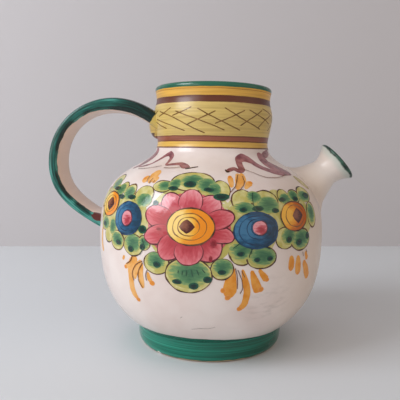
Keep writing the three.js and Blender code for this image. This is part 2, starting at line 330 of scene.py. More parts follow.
LEAF_GREENS = [
    (-33, 38.5, 5.5, 4), (-26, 40.5, 4.5, 4.5), (-14.5, 43.5, 9, 5.5), (-4, 40.5, 7, 5.5),
    (1.5, 37, 4.5, 5), (-45.5, 28, 6.5, 4.5), (19.5, 25.5, 7, 3.5), (27, 32, 5, 4), (35, 27, 9, 5.5),
    (17.5, 1, 7.4, 5.4), (30.5, -3, 9.2, 5.8), (50.5, 30.5, 5, 3.5), (59.5, 32, 5, 4), (71.5, 31, 7.5, 4),
    (75, 19.5, 5, 6.5), (49.5, 8, 6, 5.4), (60.5, 5, 9, 6), (-33, -6.5, 6.5, 5), (-12.7, -12.8, 12.5, 8.4),
    (6.5, -8.5, 6, 5.2), (-50, 2, 7, 5.5), (-65, 2.5, 6.5, 4.5), (-41, 3, 4, 4), (-61, 32, 5.5, 4.5),
    (-73, 33.5, 6, 4.5), (-87, 37, 7.5, 5), (-82, 10.5, 6, 4), (-71, 9.5, 4.5, 5),
]
DABS = [
    (-26, 37, 3.5, 1.5), (-15, 40.5, 4.5, 2.5), (-2, 37, 3.5, 1.5), (6, 32.3, 5, 2.2),
    (19, 24.5, 2.5, 1.5), (28.5, 25, 4, 1.5), (40.5, 23.5, 2.5, 1.5), (48, 30, 3, 1.5), (60.5, 30, 3, 1.5),
    (75, 31.5, 4, 2), (-67.5, 29, 4, 1.5), (-56.5, 29.5, 4, 1.5), (-79.5, 34, 5, 1.5), (-42.5, 11, 3, 2.5),
    (-35.5, 27, 2, 1.6), (-63, 1, 3, 1.5), (-51, -1.5, 2.5, 2), (-42, 0.5, 2, 2), (-32, -8.5, 2.5, 2),
    (-19.5, -17.5, 3, 1.5), (-9.5, -19.5, 3, 2), (-1.5, -15.5, 2.5, 2), (6.5, -11, 2.5, 1.5),
    (17, -0.5, 2.5, 1.5), (27, -4.5, 2, 1.5), (35.5, -4, 2, 1.5), (49.5, 6, 2.5, 2), (58.5, 3.5, 3, 2),
    (67.5, 6.5, 2, 2), (-84, 10, 2.5, 1.5),
]
CRIMSON_DABS = [(1.4, 5.4, 1.9, 2.5), (-0.2, -3.4, 1, 1.8), (-31, 12, 1.6, 0.9)]
YELLOW_FLOWERS = [(*ROSE, 14, 10.5), (*YELLOW_LEFT, 12, 8)]
ORANGE_FLOWERS = [(*YELLOW_RIGHT, 12, 9)]
BLUE_FLOWERS = [(*BLUE_RIGHT, 14, 10.5), (*BLUE_LEFT, 12, 10)]
BROWN_HEARTS = [(-14, 14.5, 4.9, 4), (58.5, 19.5, 5, 4.6), (-79, 23.5, 6, 4.5)]
RED_HEARTS = [(29, 14, 4.5, 4), (-56, 16.5, 4.5, 4.5)]
BROWN_RINGS = [(-12.5, 14.5, 10, 7.5), (-13, 14.5, 6.5, 5.2), (56.5, 19.5, 8.5, 6.5), (-79.5, 23.5, 8, 5.5)]
BLUE_RINGS = [
    (27.5, 12.5, 11.5, 8.5), (28.5, 13.5, 8, 6), (29, 14, 5.4, 4.5), (-56, 16.5, 9, 7.5), (-56, 16.5, 5, 5),
]
SPRIG_TIPS = [
    (-49, -33.5, 1.7, 1.5), (-36, -20.5, 1.9, 1.6), (-56.5, -13.5, 1.2, 1.1), (7.5, -22, 1.7, 1.6),
    (10.5, -26.5, 1.8, 1.6), (18.5, -34.5, 1.8, 1.5), (31, -22.8, 1.9, 1.7), (34.5, -17, 1.4, 1.3),
    (13.5, 47.5, 1.6, 1.4), (27.5, 42.5, 1.6, 1.4), (-54, 44, 1.6, 1.4), (52.5, -12.5, 1.1, 1.2),
    (59.5, -16, 1.1, 1.2), (71.5, -20, 1.2, 1.2),
]

# Each stroke is a list of (across, up, half width)
SPRIGS = [
    [(13, -8.5, 0.9), (12, -16, 3.3), (11.5, -22, 4.1), (11.5, -27, 2.5)],
    [(18.5, -9.5, 0.7), (20.5, -16.5, 1.8), (22, -23.5, 2.2), (21.5, -30.5, 2.1), (18.5, -34.5, 1.7)],
    [(24, -10.5, 1), (26.5, -17.5, 2.5), (30, -24.5, 3)],
    [(29, -10.5, 1), (32, -14.5, 1.9), (34.5, -17.3, 2.2)],
    [(52, -4, 1.4), (52.5, -9, 2.6), (52.5, -13.5, 2.4)],
    [(58, -4.5, 1.4), (59, -11, 2.8), (59.5, -17, 2.3)],
    [(64.5, -8.5, 1.4), (68.5, -15, 2.8), (72, -21, 2.4)],
    [(66, -3, 1.2), (68.5, -8.5, 1.8)],
]
PALE_SPRIGS = [
    [(-47, -5.5, 2.6), (-51, -11.5, 3.2), (-52, -17, 2.4), (-52.5, -22.5, 2.3), (-52, -28, 2.2),
     (-49.5, -33, 1.7)],
    [(-51.5, -10, 1.6), (-55, -12.5, 1.5), (-56.5, -13.5, 1.2)],
    [(-57, -6.5, 0.9), (-59, -9.5, 1)],
    [(-42.5, -9, 1), (-44, -15.5, 1.9), (-43.5, -20.5, 2), (-43, -25, 1.4)],
    [(-43, -7.5, 1.2), (-46.5, -12, 1.8), (-48, -16, 1.5), (-49, -20, 0.8)],
    [(-38.5, -14, 0.8), (-38, -17, 1.4), (-36.5, -20, 1.7)],
    [(-46.8, 40, 1.6), (-47.6, 44.6, 3), (-47.5, 48.6, 4.2), (-49, 53, 2.4)],
    [(-51.2, 40.5, 1.6), (-53, 43.7, 3.2), (-52.3, 46.6, 2)],
    [(-44, 40.4, 1.4), (-43.3, 43.3, 2), (-42.6, 46.2, 2)],
    [(13, 38.5, 1.1), (13.5, 43, 2), (13.5, 48, 2.4)],
    [(16.5, 37, 1.1), (19.5, 44, 2.6), (21, 51, 2.4)],
    [(17.5, 37.5, 0.8), (23.5, 45, 1.8), (24, 51.5, 1.5)],
    [(22.5, 37.5, 0.9), (25, 40.5, 1.8), (28, 43, 2.6)],
    [(-88, 9.5, 0.9), (-90, -2, 2.2), (-87, -9, 1.9)],
]
SCROLLS = [
    [(-102, 74.5, 2.5), (-98, 71.5, 7), (-93, 66.5, 8.5), (-91, 61, 7), (-92, 56.5, 3.5), (-97, 54, 1.5)],
    [(-86, 55.2, 1), (-72.7, 58.8, 1.6), (-68, 64, 1.9), (-64, 68.6, 2.2), (-57.9, 71.3, 2.2),
     (-51, 69.3, 2.2), (-48.6, 64.8, 2), (-47.7, 60.3, 1.3), (-43, 60, 1.4), (-38.2, 60.6, 1.6),
     (-32.2, 61.4, 1.8), (-26, 58.8, 2.9), (-20.5, 57, 1)],
    [(12.5, 53.5, 1.8), (19, 56.5, 2), (23, 54, 2.5), (26.5, 56.5, 3), (28, 64, 3.5), (30.5, 67.5, 3.5),
     (37.5, 68.5, 3.8), (44, 66, 3.8), (47, 61, 3.6), (52, 56.6, 3.3), (58, 53.3, 2.9), (66, 50.6, 2.3),
     (79, 49.8, 1.2)],
    [(99, 74.5, 2), (88, 73, 2.2), (77, 71.3, 2.3), (62, 69.2, 0.9)],
    [(73, 71.5, 3), (67, 67, 7.5), (66, 61.5, 8), (69.5, 57.5, 8), (76, 54, 6), (83, 50.5, 2.5)],
]
OLIVE_STROKE = [[(81, 47.5, 2), (83, 43.5, 4), (86, 39.5, 3.5), (89.5, 35.5, 1.5)]]
DARK_TAILS = [
    [(-24, 55.6, 0.6), (-18.8, 56.7, 0.7), (-12.7, 58.4, 0.5)],
    [(11.5, 55.5, 0.8), (12.5, 53, 1), (15, 54, 0.6)],
]

# Hairlines are (across, up) points of one width
HAIRLINES = [
    [(-42, -7.5), (-47.5, -11), (-50.5, -16.5), (-49.5, -21)],
    [(-42, -8.5), (-45.5, -14.5), (-45.5, -20.5), (-42.5, -24.5)],
    [(-49.5, -5.5), (-52, -9), (-55.5, -11.5)], [(-38.5, -12.5), (-40, -16), (-39.5, -19.5)],
    [(14, -8.5), (15.5, -14), (16, -21.5)], [(15.5, -9.5), (18, -15), (19, -20.5), (17.5, -24.5)],
    [(18, -10), (20, -14.5)], [(20, 49.5), (16, 40), (11.5, 34.5)], [(23.5, 48.5), (22.5, 41), (18, 36)],
    [(-45.9, 44.4), (-46.7, 42), (-46.4, 39.5)], [(-51, 46.7), (-50.7, 43.5), (-49.2, 40.4)],
    [(-43, 42.7), (-44, 40.4)], [(62.5, -2.5), (63.5, -6)], [(66, -1.5), (67.5, -4)],
    [(-79, 52.6), (-61, 54.9), (-51, 58)], [(-46, 55.8), (-39, 55.4), (-29, 57.3)],
    [(88, 37.5), (91, 31.5), (93, 25.5), (95, 19)],
    [(26.5, 56.5), (33, 53), (38.5, 49.3), (44.5, 47), (52.5, 46.3), (61, 47.2), (72, 49.3)],
]
LEAF_LINES = [
    [(27, 35), (25.8, 30.4), (26.3, 26), (28.5, 23.5)], [(12.5, 2.5), (17, 5.4), (22.6, 3.2), (23.8, -1)],
    [(22.3, -3), (24, 1.5), (29.3, 2.9), (36, 1.6)], [(-42.5, 6), (-41.5, 2.5), (-42, -1), (-44, -4.3)],
    [(-18.5, -10.5), (-18.8, -12.5)], [(-16, -10.8), (-16.2, -13.4)], [(-13.6, -10.3), (-13.8, -13.8)],
    [(-10.9, -10), (-10.2, -14)], [(-7.8, -10), (-6.4, -13.4)], [(-5, -9.4), (-2.6, -11.8)],
]
SCRATCHES = [[(-13, -51.5), (-6.5, -50.3), (-1, -50), (4.5, -48.5)], [(-19.5, -42.5), (-18, -40.8)]]
HAIRLINE = 0.24
SCRATCH = 0.16

# Lattice on the neck: millimetres round a turn of 40 mm radius, and above the joint with the belly
LATTICE_RADIUS = 40
LATTICE_LINE = 0.36
LATTICE = [
    [(-58, 21), (-46, 16), (-34, 12)], [(-46, 18.5), (-36, 16), (-18.5, 10.5)],
    [(-41, 23.5), (-28, 19.5), (-12, 12), (-5, 9)], [(-25, 23), (-8, 17), (7.5, 11)],
    [(-10, 24.5), (3.5, 17.5), (18, 11)], [(7, 25), (18.5, 18.5), (35, 12.5)],
    [(23.5, 24.5), (30, 22), (46, 16.5)], [(36, 26), (47.5, 23), (60, 18)],
    [(-60, 16), (-50, 21), (-44, 24)], [(-42, 20), (-34.5, 22.5), (-29, 25.5)],
    [(-27.5, 20), (-20, 22.5), (-13.5, 25.5)], [(-17.5, 14), (-7.5, 18.5), (1.5, 23)],
    [(1, 15), (10.5, 19), (20.5, 24)], [(17.5, 14), (25, 19), (35.5, 25)],
    [(32.5, 13.5), (38, 18), (47, 22.5)], [(46, 12), (53, 17), (61, 22)],
]

# How far each layer of paint stands off the glaze, and how far each shape stands above the one before
LIFTS = {
    "wash": 0.06, "leaf": 0.09, "leaf_green": 0.19, "rose_wash": 0.2, "petal": 0.22, "dab": 0.4,
    "flower": 0.42, "ring": 0.435, "heart": 0.45,
}
SHAPE_STEP = 0.015
OUTLINE_LIFT = 0.005
PAINT_DEPTH = 0.45

# Half widths of lines and their flatness; how far the hand wobbles, and the sizes of its wobble and press
OUTLINE = 0.4
RING = 0.28
THINNEST = 0.15
LINE_FLATNESS = 0.01
BELLY_WOBBLE = 1.6
NECK_WOBBLE = 0.8
WOBBLE_SIZE = 9
PRESS_SIZE = 7

# Fineness of the meshes
SEAM = 0.05
SHAPE_SIDES = 36
SHAPE_RINGS = 9
OUTLINE_STEPS = 40
LINE_SIDES = 6
STROKE_SMOOTHNESS = 12
STROKE_STEP = 0.5
STROKE_SIDES = 16
END_SHARE = 0.1


# Node trees

def add(tree, kind, links=None, stops=(), **settings):
    """Adds a node; links maps its inputs to sockets, nodes or values, and stops fill a colour ramp."""
    node = tree.nodes.new(kind)
    for name, value in settings.items():
        setattr(node, name, value)
    for key, source in (links or {}).items():
        if isinstance(source, bpy.types.Node):
            source = next(socket for socket in source.outputs if socket.enabled)
        if isinstance(source, bpy.types.NodeSocket):
            tree.links.new(source, node.inputs[key])
        else:
            node.inputs[key].default_value = source
    for i, (place, code) in enumerate(stops):
        elements = node.color_ramp.elements
        stop = elements[i] if i < 2 else elements.new(1)
        stop.position = place
        stop.color = linear(code)
    return node


def linear(code):
    """An sRGB hex colour as linear RGBA."""
    channels = [int(code[i:i + 2], 16) / 255 for i in (1, 3, 5)]
    return [c / 12.92 if c <= 0.04045 else ((c + 0.055) / 1.055) ** 2.4 for c in channels] + [1]


def new_tree(name, **sockets):
    """A geometry tree that takes and gives a geometry; further inputs are given with their socket types."""
    tree = bpy.data.node_groups.new(name, "GeometryNodeTree")
    tree.interface.new_socket("Geometry", in_out="INPUT", socket_type="NodeSocketGeometry")
    tree.interface.new_socket("Geometry", in_out="OUTPUT", socket_type="NodeSocketGeometry")
    for label, kind in sockets.items():
        tree.interface.new_socket(label, in_out="INPUT", socket_type="NodeSocket" + kind)
    return tree, tree.nodes.new("NodeGroupInput").outputs


def end_tree(tree, given, geometry):
    """Makes all instances real, gives them the finish and hands them out."""
    real = add(tree, "GeometryNodeRealizeInstances", {0: geometry})
    finished = add(tree, "GeometryNodeSetMaterial", {0: real, "Material": given["Finish"]})
    add(tree, "NodeGroupOutput", {0: finished})


def ring_grid(tree, given):
    """A sheet with a row for each point of the given line, its columns spread over a full turn."""
    rows = add(tree, "GeometryNodeAttributeDomainSize", {0: given["Geometry"]}, component="CURVE")
    columns = add(tree, "ShaderNodeMath", {0: given["Sides"], 1: 1}, operation="ADD")
    sheet = add(tree, "GeometryNodeMeshGrid", {
        "Size X": 1, "Size Y": 2 * math.pi, "Vertices X": rows.outputs["Point Count"], "Vertices Y": columns,
    })
    return sheet, columns


def close_up(tree, given, sheet, place):
    """Sets the sheet's places, joins its seam and gives it the finish."""
    moved = add(tree, "GeometryNodeSetPosition", {0: sheet, "Position": place})
    closed = add(tree, "GeometryNodeMergeByDistance", {0: moved, "Distance": SEAM * MM})
    end_tree(tree, given, closed)


def round_the_axis(tree, radius, angle, height, side):
    """The place at a radius, an angle and a height round the wheel axis; a side of -1 is the front."""
    sine = add(tree, "ShaderNodeMath", {0: angle}, operation="SINE")
    cosine = add(tree, "ShaderNodeMath", {0: angle}, operation="COSINE")
    across = add(tree, "ShaderNodeMath", {0: radius, 1: sine}, operation="MULTIPLY")
    deep = add(tree, "ShaderNodeMath", {0: radius, 1: cosine}, operation="MULTIPLY")
    deep = add(tree, "ShaderNodeMath", {0: deep, 1: side}, operation="MULTIPLY")
    return add(tree, "ShaderNodeCombineXYZ", {"X": across, "Y": deep, "Z": height})


def turned_tree():
    """Turns a profile of (radius, 0, height) points round the wheel axis."""
    tree, given = new_tree("turned_on_the_wheel", Sides="Int", Finish="Material")
    sheet, columns = ring_grid(tree, given)
    index = add(tree, "GeometryNodeInputIndex")
    row = add(tree, "ShaderNodeMath", {0: index, 1: columns}, operation="DIVIDE")
    row = add(tree, "ShaderNodeMath", {0: row}, operation="FLOOR")
    position = add(tree, "GeometryNodeInputPosition")
    profile = add(tree, "GeometryNodeSampleIndex", {
        0: given["Geometry"], "Value": position, "Index": row,
    }, data_type="FLOAT_VECTOR")
    reach = add(tree, "ShaderNodeSeparateXYZ", {0: profile})
    turn = add(tree, "ShaderNodeSeparateXYZ", {0: position})
    place = round_the_axis(tree, reach.outputs["X"], turn.outputs["Y"], reach.outputs["Z"], 1)
    close_up(tree, given, sheet, place)
    return tree


def strap_tree():
    """Sweeps a squared oval section along the strap's middle line, thinner past the crest."""
    tree, given = new_tree(
        "pulled_strap", Sides="Int", Squareness="Float", NeckWidth="Float", BellyWidth="Float",
        CrestThickness="Float", TailThickness="Float", Flare="Float", Finish="Material",
    )
    sheet, _ = ring_grid(tree, given)
    spot = add(tree, "ShaderNodeSeparateXYZ", {0: add(tree, "GeometryNodeInputPosition")})
    share = add(tree, "ShaderNodeMath", {0: spot.outputs["X"], 1: 0.5}, operation="ADD")
    middle = add(tree, "GeometryNodeSampleCurve", {
        "Curves": given["Geometry"], "Factor": share,
    }, mode="FACTOR", use_all_curves=True)
    run = add(tree, "ShaderNodeSeparateXYZ", {0: middle.outputs["Tangent"]})
    back = add(tree, "ShaderNodeMath", {0: run.outputs["X"], 1: -1}, operation="MULTIPLY")
    outward = add(tree, "ShaderNodeCombineXYZ", {"X": run.outputs["Z"], "Z": back})
    thick = add(tree, "ShaderNodeMapRange", {
        "Value": share, "From Min": THINNING_SHARES[0], "From Max": THINNING_SHARES[1],
        "To Min": given["CrestThickness"], "To Max": given["TailThickness"],
    }, interpolation_type="SMOOTHSTEP")
    wide = add(tree, "ShaderNodeMapRange", {
        "Value": share, "To Min": given["NeckWidth"], "To Max": given["BellyWidth"],
    })
    power = add(tree, "ShaderNodeMath", {0: 2, 1: given["Squareness"]}, operation="DIVIDE")
    squared = []
    for wave in ("SINE", "COSINE"):
        value = add(tree, "ShaderNodeMath", {0: spot.outputs["Y"]}, operation=wave)
        size = add(tree, "ShaderNodeMath", {0: value}, operation="ABSOLUTE")
        size = add(tree, "ShaderNodeMath", {0: size, 1: power}, operation="POWER")
        sign = add(tree, "ShaderNodeMath", {0: value}, operation="SIGN")
        squared.append(add(tree, "ShaderNodeMath", {0: size, 1: sign}, operation="MULTIPLY"))
    half_thick = add(tree, "ShaderNodeMath", {0: thick, 1: 0.5}, operation="MULTIPLY")
    # The inner side flares where it is smoothed on the belly
    flare = add(tree, "ShaderNodeMapRange", {
        "Value": share, "From Min": FLARE_SHARES[0], "From Max": FLARE_SHARES[1],
        "To Min": 0, "To Max": given["Flare"],
    }, interpolation_type="SMOOTHSTEP")
    inside = add(tree, "ShaderNodeMath", {0: squared[0], 1: 0}, operation="LESS_THAN")
    half_thick = add(tree, "ShaderNodeMath", {0: flare, 1: inside, 2: half_thick}, operation="MULTIPLY_ADD")
    half_wide = add(tree, "ShaderNodeMath", {0: wide, 1: 0.5}, operation="MULTIPLY")
    rise = add(tree, "ShaderNodeMath", {0: half_thick, 1: squared[0]}, operation="MULTIPLY")
    side = add(tree, "ShaderNodeMath", {0: half_wide, 1: squared[1]}, operation="MULTIPLY")
    lift = add(tree, "ShaderNodeVectorMath", {0: outward, "Scale": rise}, operation="SCALE")
    lift = add(tree, "ShaderNodeVectorMath", {0: lift, 1: middle.outputs["Position"]}, operation="ADD")
    aside = add(tree, "ShaderNodeCombineXYZ", {"Y": side})
    ring = add(tree, "ShaderNodeVectorMath", {0: lift, 1: aside}, operation="ADD")
    # For the finish: share of the way from neck to belly, place across, and 1 outside to -1 inside
    brush = add(tree, "ShaderNodeCombineXYZ", {"X": share, "Y": squared[1], "Z": squared[0]})
    noted = add(tree, "GeometryNodeStoreNamedAttribute", {
        0: sheet, "Name": "brush", "Value": brush,
    }, data_type="FLOAT_VECTOR")
    close_up(tree, given, noted, ring)
    return tree


def lay_on_tree():
    """Lays (across, up, off) places on a turned surface: up along its profile, off outwards from it."""
    tree, given = new_tree(
        "laid_on_the_clay", Profile="Geometry", ArcZero="Float", TurnRadius="Float", Side="Float",
    )
    flat = add(tree, "ShaderNodeSeparateXYZ", {0: add(tree, "GeometryNodeInputPosition")})
    length = add(tree, "ShaderNodeMath", {0: flat.outputs["Y"], 1: given["ArcZero"]}, operation="ADD")
    spot = add(tree, "GeometryNodeSampleCurve", {
        "Curves": given["Profile"], "Length": length,
    }, mode="LENGTH", use_all_curves=True)
    place = add(tree, "ShaderNodeSeparateXYZ", {0: spot.outputs["Position"]})
    run = add(tree, "ShaderNodeSeparateXYZ", {0: spot.outputs["Tangent"]})
    fall = add(tree, "ShaderNodeMath", {0: flat.outputs["Z"], 1: -1}, operation="MULTIPLY")
    radius = add(tree, "ShaderNodeMath", {
        0: flat.outputs["Z"], 1: run.outputs["Z"], 2: place.outputs["X"],
    }, operation="MULTIPLY_ADD")
    height = add(tree, "ShaderNodeMath", {
        0: fall, 1: run.outputs["X"], 2: place.outputs["Z"],
    }, operation="MULTIPLY_ADD")
    angle = add(tree, "ShaderNodeMath", {0: flat.outputs["X"], 1: given["TurnRadius"]}, operation="DIVIDE")
    laid = round_the_axis(tree, radius, angle, height, given["Side"])
    moved = add(tree, "GeometryNodeSetPosition", {0: given["Geometry"], "Position": laid})
    add(tree, "NodeGroupOutput", {0: moved})
    return tree


def painting_tree(name, **sockets):
    """A tree for painting on a turned surface, with its common inputs."""
    return new_tree(
        name, Clay="Object", ArcZero="Float", TurnRadius="Float", Wobble="Float", Finish="Material",
        **sockets,
    )


def finish_painting(tree, given, flat, lay_on):
    """Wobbles flat painting as a hand does, then lays it on the front and, mirrored, on the back."""
    drift = add(tree, "ShaderNodeTexNoise", {
        "Vector": add(tree, "GeometryNodeInputPosition"), "Scale": 1 / (WOBBLE_SIZE * MM), "Detail": 3,
        "Roughness": 0.6,
    }).outputs["Color"]
    drift = add(tree, "ShaderNodeVectorMath", {0: drift, 1: (0.5, 0.5, 0.5)}, operation="SUBTRACT")
    drift = add(tree, "ShaderNodeVectorMath", {0: drift, 1: (1, 1, 0)}, operation="MULTIPLY")
    drift = add(tree, "ShaderNodeVectorMath", {0: drift, "Scale": given["Wobble"]}, operation="SCALE")
    swayed = add(tree, "GeometryNodeSetPosition", {0: flat, "Offset": drift})
    profile = add(tree, "GeometryNodeObjectInfo", {"Object": given["Clay"]})
    sides = add(tree, "GeometryNodeJoinGeometry")
    for side in (-1, 1):
        laid = add(tree, "GeometryNodeGroup", {
            "Geometry": swayed, "Profile": profile.outputs["Geometry"], "ArcZero": given["ArcZero"],
            "TurnRadius": given["TurnRadius"], "Side": side,
        }, node_tree=lay_on)
        tree.links.new(laid.outputs[0], sides.inputs[0])
    end_tree(tree, given, sides)


def on_each_point(tree, given, shape, depth):
    """A copy of a shape on every point, of the point's own half sizes and turn."""
    half = add(tree, "GeometryNodeInputNamedAttribute", {"Name": "half"}, data_type="FLOAT_VECTOR")
    scale = add(tree, "ShaderNodeVectorMath", {0: half, 1: (0, 0, depth)}, operation="ADD")
    turn = add(tree, "GeometryNodeInputNamedAttribute", {"Name": "turn"}, data_type="FLOAT_VECTOR")
    copies = add(tree, "GeometryNodeInstanceOnPoints", {
        "Points": given["Geometry"], "Instance": shape, "Scale": scale, "Rotation": turn,
    })
    return add(tree, "GeometryNodeRealizeInstances", {0: copies})


def lift_of_point(tree, more):
    """How far a point's shape stands off the clay, and some more."""
    lift = add(tree, "GeometryNodeInputNamedAttribute", {"Name": "lift"}, data_type="FLOAT")
    return add(tree, "ShaderNodeMath", {0: lift, 1: more}, operation="ADD")


def shapes_tree(lay_on):
    """Paints a filled round shape at every point, of the point's own half width, half height and lift."""
    tree, given = painting_tree("painted_shapes", Corners="Float")
    disc = add(tree, "GeometryNodeMeshCylinder", {
        "Vertices": SHAPE_SIDES, "Side Segments": 1, "Fill Segments": SHAPE_RINGS, "Radius": 1, "Depth": 1,
    })
    position = add(tree, "GeometryNodeInputPosition")
    noted = add(tree, "GeometryNodeStoreNamedAttribute", {
        0: disc, "Name": "brush", "Value": position,
    }, data_type="FLOAT_VECTOR")
    # A share of 1 draws the round in to a shape with four corners
    flat = add(tree, "ShaderNodeVectorMath", {0: position, 1: (1, 1, 0)}, operation="MULTIPLY")
    reach = add(tree, "ShaderNodeVectorMath", {0: flat}, operation="LENGTH")
    sides = add(tree, "ShaderNodeVectorMath", {0: flat}, operation="ABSOLUTE")
    sides = add(tree, "ShaderNodeVectorMath", {0: sides, 1: (1, 1, 1)}, operation="DOT_PRODUCT")
    pinch = add(tree, "ShaderNodeMath", {0: reach, 1: sides}, operation="DIVIDE")
    pinch = add(tree, "ShaderNodeMath", {0: pinch, 1: 1}, operation="SUBTRACT")
    pinch = add(tree, "ShaderNodeMath", {0: pinch, 1: given["Corners"]}, operation="MULTIPLY")
    drawn_in = add(tree, "ShaderNodeVectorMath", {0: flat, "Scale": pinch}, operation="SCALE")
    noted = add(tree, "GeometryNodeSetPosition", {0: noted, "Offset": drawn_in})
    real = on_each_point(tree, given, noted, PAINT_DEPTH * MM)
    offset = add(tree, "ShaderNodeCombineXYZ", {"Z": lift_of_point(tree, -PAINT_DEPTH / 2 * MM)})
    raised = add(tree, "GeometryNodeSetPosition", {0: real, "Offset": offset})
    finish_painting(tree, given, raised, lay_on)
    return tree


def paint_line(tree, curve, half_width, lift, sides):
    """A thin flat line of paint along a curve; a broad one needs more sides to follow the clay."""
    section = add(tree, "GeometryNodeCurvePrimitiveCircle", {"Resolution": sides, "Radius": 1})
    tube = add(tree, "GeometryNodeCurveToMesh", {
        "Curve": curve, "Profile Curve": section, "Scale": half_width, "Fill Caps": True,
    })
    place = add(tree, "ShaderNodeSeparateXYZ", {0: add(tree, "GeometryNodeInputPosition")})
    low = add(tree, "ShaderNodeMath", {
        0: place.outputs["Z"], 1: LINE_FLATNESS, 2: lift,
    }, operation="MULTIPLY_ADD")
    flat = add(tree, "ShaderNodeCombineXYZ", {"X": place.outputs["X"], "Y": place.outputs["Y"], "Z": low})
    return add(tree, "GeometryNodeSetPosition", {0: tube, "Position": flat})


def outlines_tree(lay_on):
    """Draws an uneven line round every point's shape, thinned by a share towards the shape's root."""
    tree, given = painting_tree("painted_outlines", HalfWidth="Float", RootThinning="Float")
    ring = add(tree, "GeometryNodeCurvePrimitiveCircle", {"Resolution": OUTLINE_STEPS, "Radius": 1})
    outward = add(tree, "ShaderNodeSeparateXYZ", {0: add(tree, "GeometryNodeInputPosition")})
    # Thinned from the root to a little past the middle
    thinned = add(tree, "ShaderNodeMapRange", {
        "Value": outward.outputs["X"], "From Min": -0.5, "From Max": 0.3,
        "To Min": given["RootThinning"], "To Max": 0,
    })
    kept = add(tree, "ShaderNodeMath", {0: 1, 1: thinned}, operation="SUBTRACT")
    ring = add(tree, "GeometryNodeStoreNamedAttribute", {
        0: ring, "Name": "kept", "Value": kept,
    }, data_type="FLOAT")
    real = on_each_point(tree, given, ring, 1)
    # The hand presses now less, now more
    press = add(tree, "ShaderNodeTexNoise", {
        "Vector": add(tree, "GeometryNodeInputPosition"), "Scale": 1 / (PRESS_SIZE * MM), "Detail": 0,
    })
    press = add(tree, "ShaderNodeMapRange", {
        "Value": press, "From Min": 0.3, "From Max": 0.7, "To Min": 0.45, "To Max": 1.4,
    })
    width = add(tree, "ShaderNodeMath", {0: press, 1: given["HalfWidth"]}, operation="MULTIPLY")
    kept = add(tree, "GeometryNodeInputNamedAttribute", {"Name": "kept"}, data_type="FLOAT")
    width = add(tree, "ShaderNodeMath", {0: width, 1: kept}, operation="MULTIPLY")
    lift = lift_of_point(tree, OUTLINE_LIFT * MM)
    finish_painting(tree, given, paint_line(tree, real, width, lift, LINE_SIDES), lay_on)
    return tree


def strokes_tree(lay_on):
    """Draws a round-ended brush stroke along every chain of edges, as wide at each point as it says."""
    tree, given = painting_tree("painted_strokes", Lift="Float")
    curve = add(tree, "GeometryNodeMeshToCurve", {0: given["Geometry"]})
    smooth = add(tree, "GeometryNodeCurveSplineType", {0: curve}, spline_type="CATMULL_ROM")
    smooth = add(tree, "GeometryNodeSetSplineResolution", {0: smooth, "Resolution": STROKE_SMOOTHNESS})
    even = add(tree, "GeometryNodeResampleCurve", {0: smooth, "Length": STROKE_STEP * MM}, mode="LENGTH")
    width = add(tree, "GeometryNodeInputNamedAttribute", {"Name": "width"}, data_type="FLOAT")
    width = add(tree, "ShaderNodeMath", {0: width, 1: THINNEST * MM}, operation="MAXIMUM")
    # Both ends are round, and never drawn in to nothing
    run = add(tree, "GeometryNodeSplineParameter").outputs["Length"]
    whole = add(tree, "GeometryNodeSplineLength")
    rest = add(tree, "ShaderNodeMath", {0: whole, 1: run}, operation="SUBTRACT")
    to_end = add(tree, "ShaderNodeMath", {0: run, 1: rest}, operation="MINIMUM")
    share = add(tree, "ShaderNodeMath", {0: to_end, 1: width}, operation="DIVIDE", use_clamp=True)
    short = add(tree, "ShaderNodeMath", {0: 2, 1: share}, operation="SUBTRACT")
    bend = add(tree, "ShaderNodeMath", {0: share, 1: short}, operation="MULTIPLY")
    bend = add(tree, "ShaderNodeMath", {0: bend}, operation="SQRT")
    bend = add(tree, "ShaderNodeMath", {0: bend, 1: END_SHARE}, operation="MAXIMUM")
    half_width = add(tree, "ShaderNodeMath", {0: width, 1: bend}, operation="MULTIPLY")
    finish_painting(tree, given, paint_line(tree, even, half_width, given["Lift"], STROKE_SIDES), lay_on)
    return tree


# Materials

# A warmer cream that the white turns to towards the spout, and the stretch over which it comes in
CREAM = "#dac8b8"
CREAM_SPAN = (40, 80)

# Fired paint, and the marks of the brush's hairs along and across each half size of a dab
PAINT_ROUGHNESS = 0.13
BRUSH_HAIRS = (1.5, 5, 0)


def new_material(name, roughness):
    """A glazed surface; returns it with its tree, its shader and its place socket."""
    finish = bpy.data.materials.new(name)
    finish.use_nodes = True
    tree = finish.node_tree
    shader = tree.nodes["Principled BSDF"]
    shader.inputs["Roughness"].default_value = roughness
    where = add(tree, "ShaderNodeTexCoord").outputs["Object"]
    return finish, tree, shader, where


def ripple(tree, shader, where):
    """Glaze that lies unevenly over the brush marks, so that its reflections break up."""
    wave = add(tree, "ShaderNodeTexNoise", {"Vector": where, "Scale": 1 / (4 * MM), "Detail": 2})
    wave = add(tree, "ShaderNodeBump", {"Height": wave, "Strength": 0.35, "Distance": 0.5 * MM})
    tree.links.new(wave.outputs[0], shader.inputs["Normal"])


def streaks(tree, where, sizes, detail):
    """Noise drawn out to streaks of these sizes in millimetres."""
    drawn = add(tree, "ShaderNodeMapping", {0: where, "Scale": [1 / (size * MM) for size in sizes]})
    return add(tree, "ShaderNodeTexNoise", {"Vector": drawn, "Scale": 1, "Detail": detail})


def wandering(tree, value, where, size, amount, **noise):
    """A value that wanders by an amount over clouds of a size in millimetres."""
    cloud = add(tree, "ShaderNodeTexNoise", {"Vector": where, "Scale": 1 / (size * MM), **noise})
    return add(tree, "ShaderNodeMath", {0: cloud, 1: amount, 2: value}, operation="MULTIPLY_ADD")


def covered(tree, colour, *covers):
    """A colour under others, each laid over it by its share."""
    for share, cover in covers:
        colour = add(tree, "ShaderNodeMix", {0: share, 6: colour, 7: cover}, data_type="RGBA").outputs[2]
    return colour


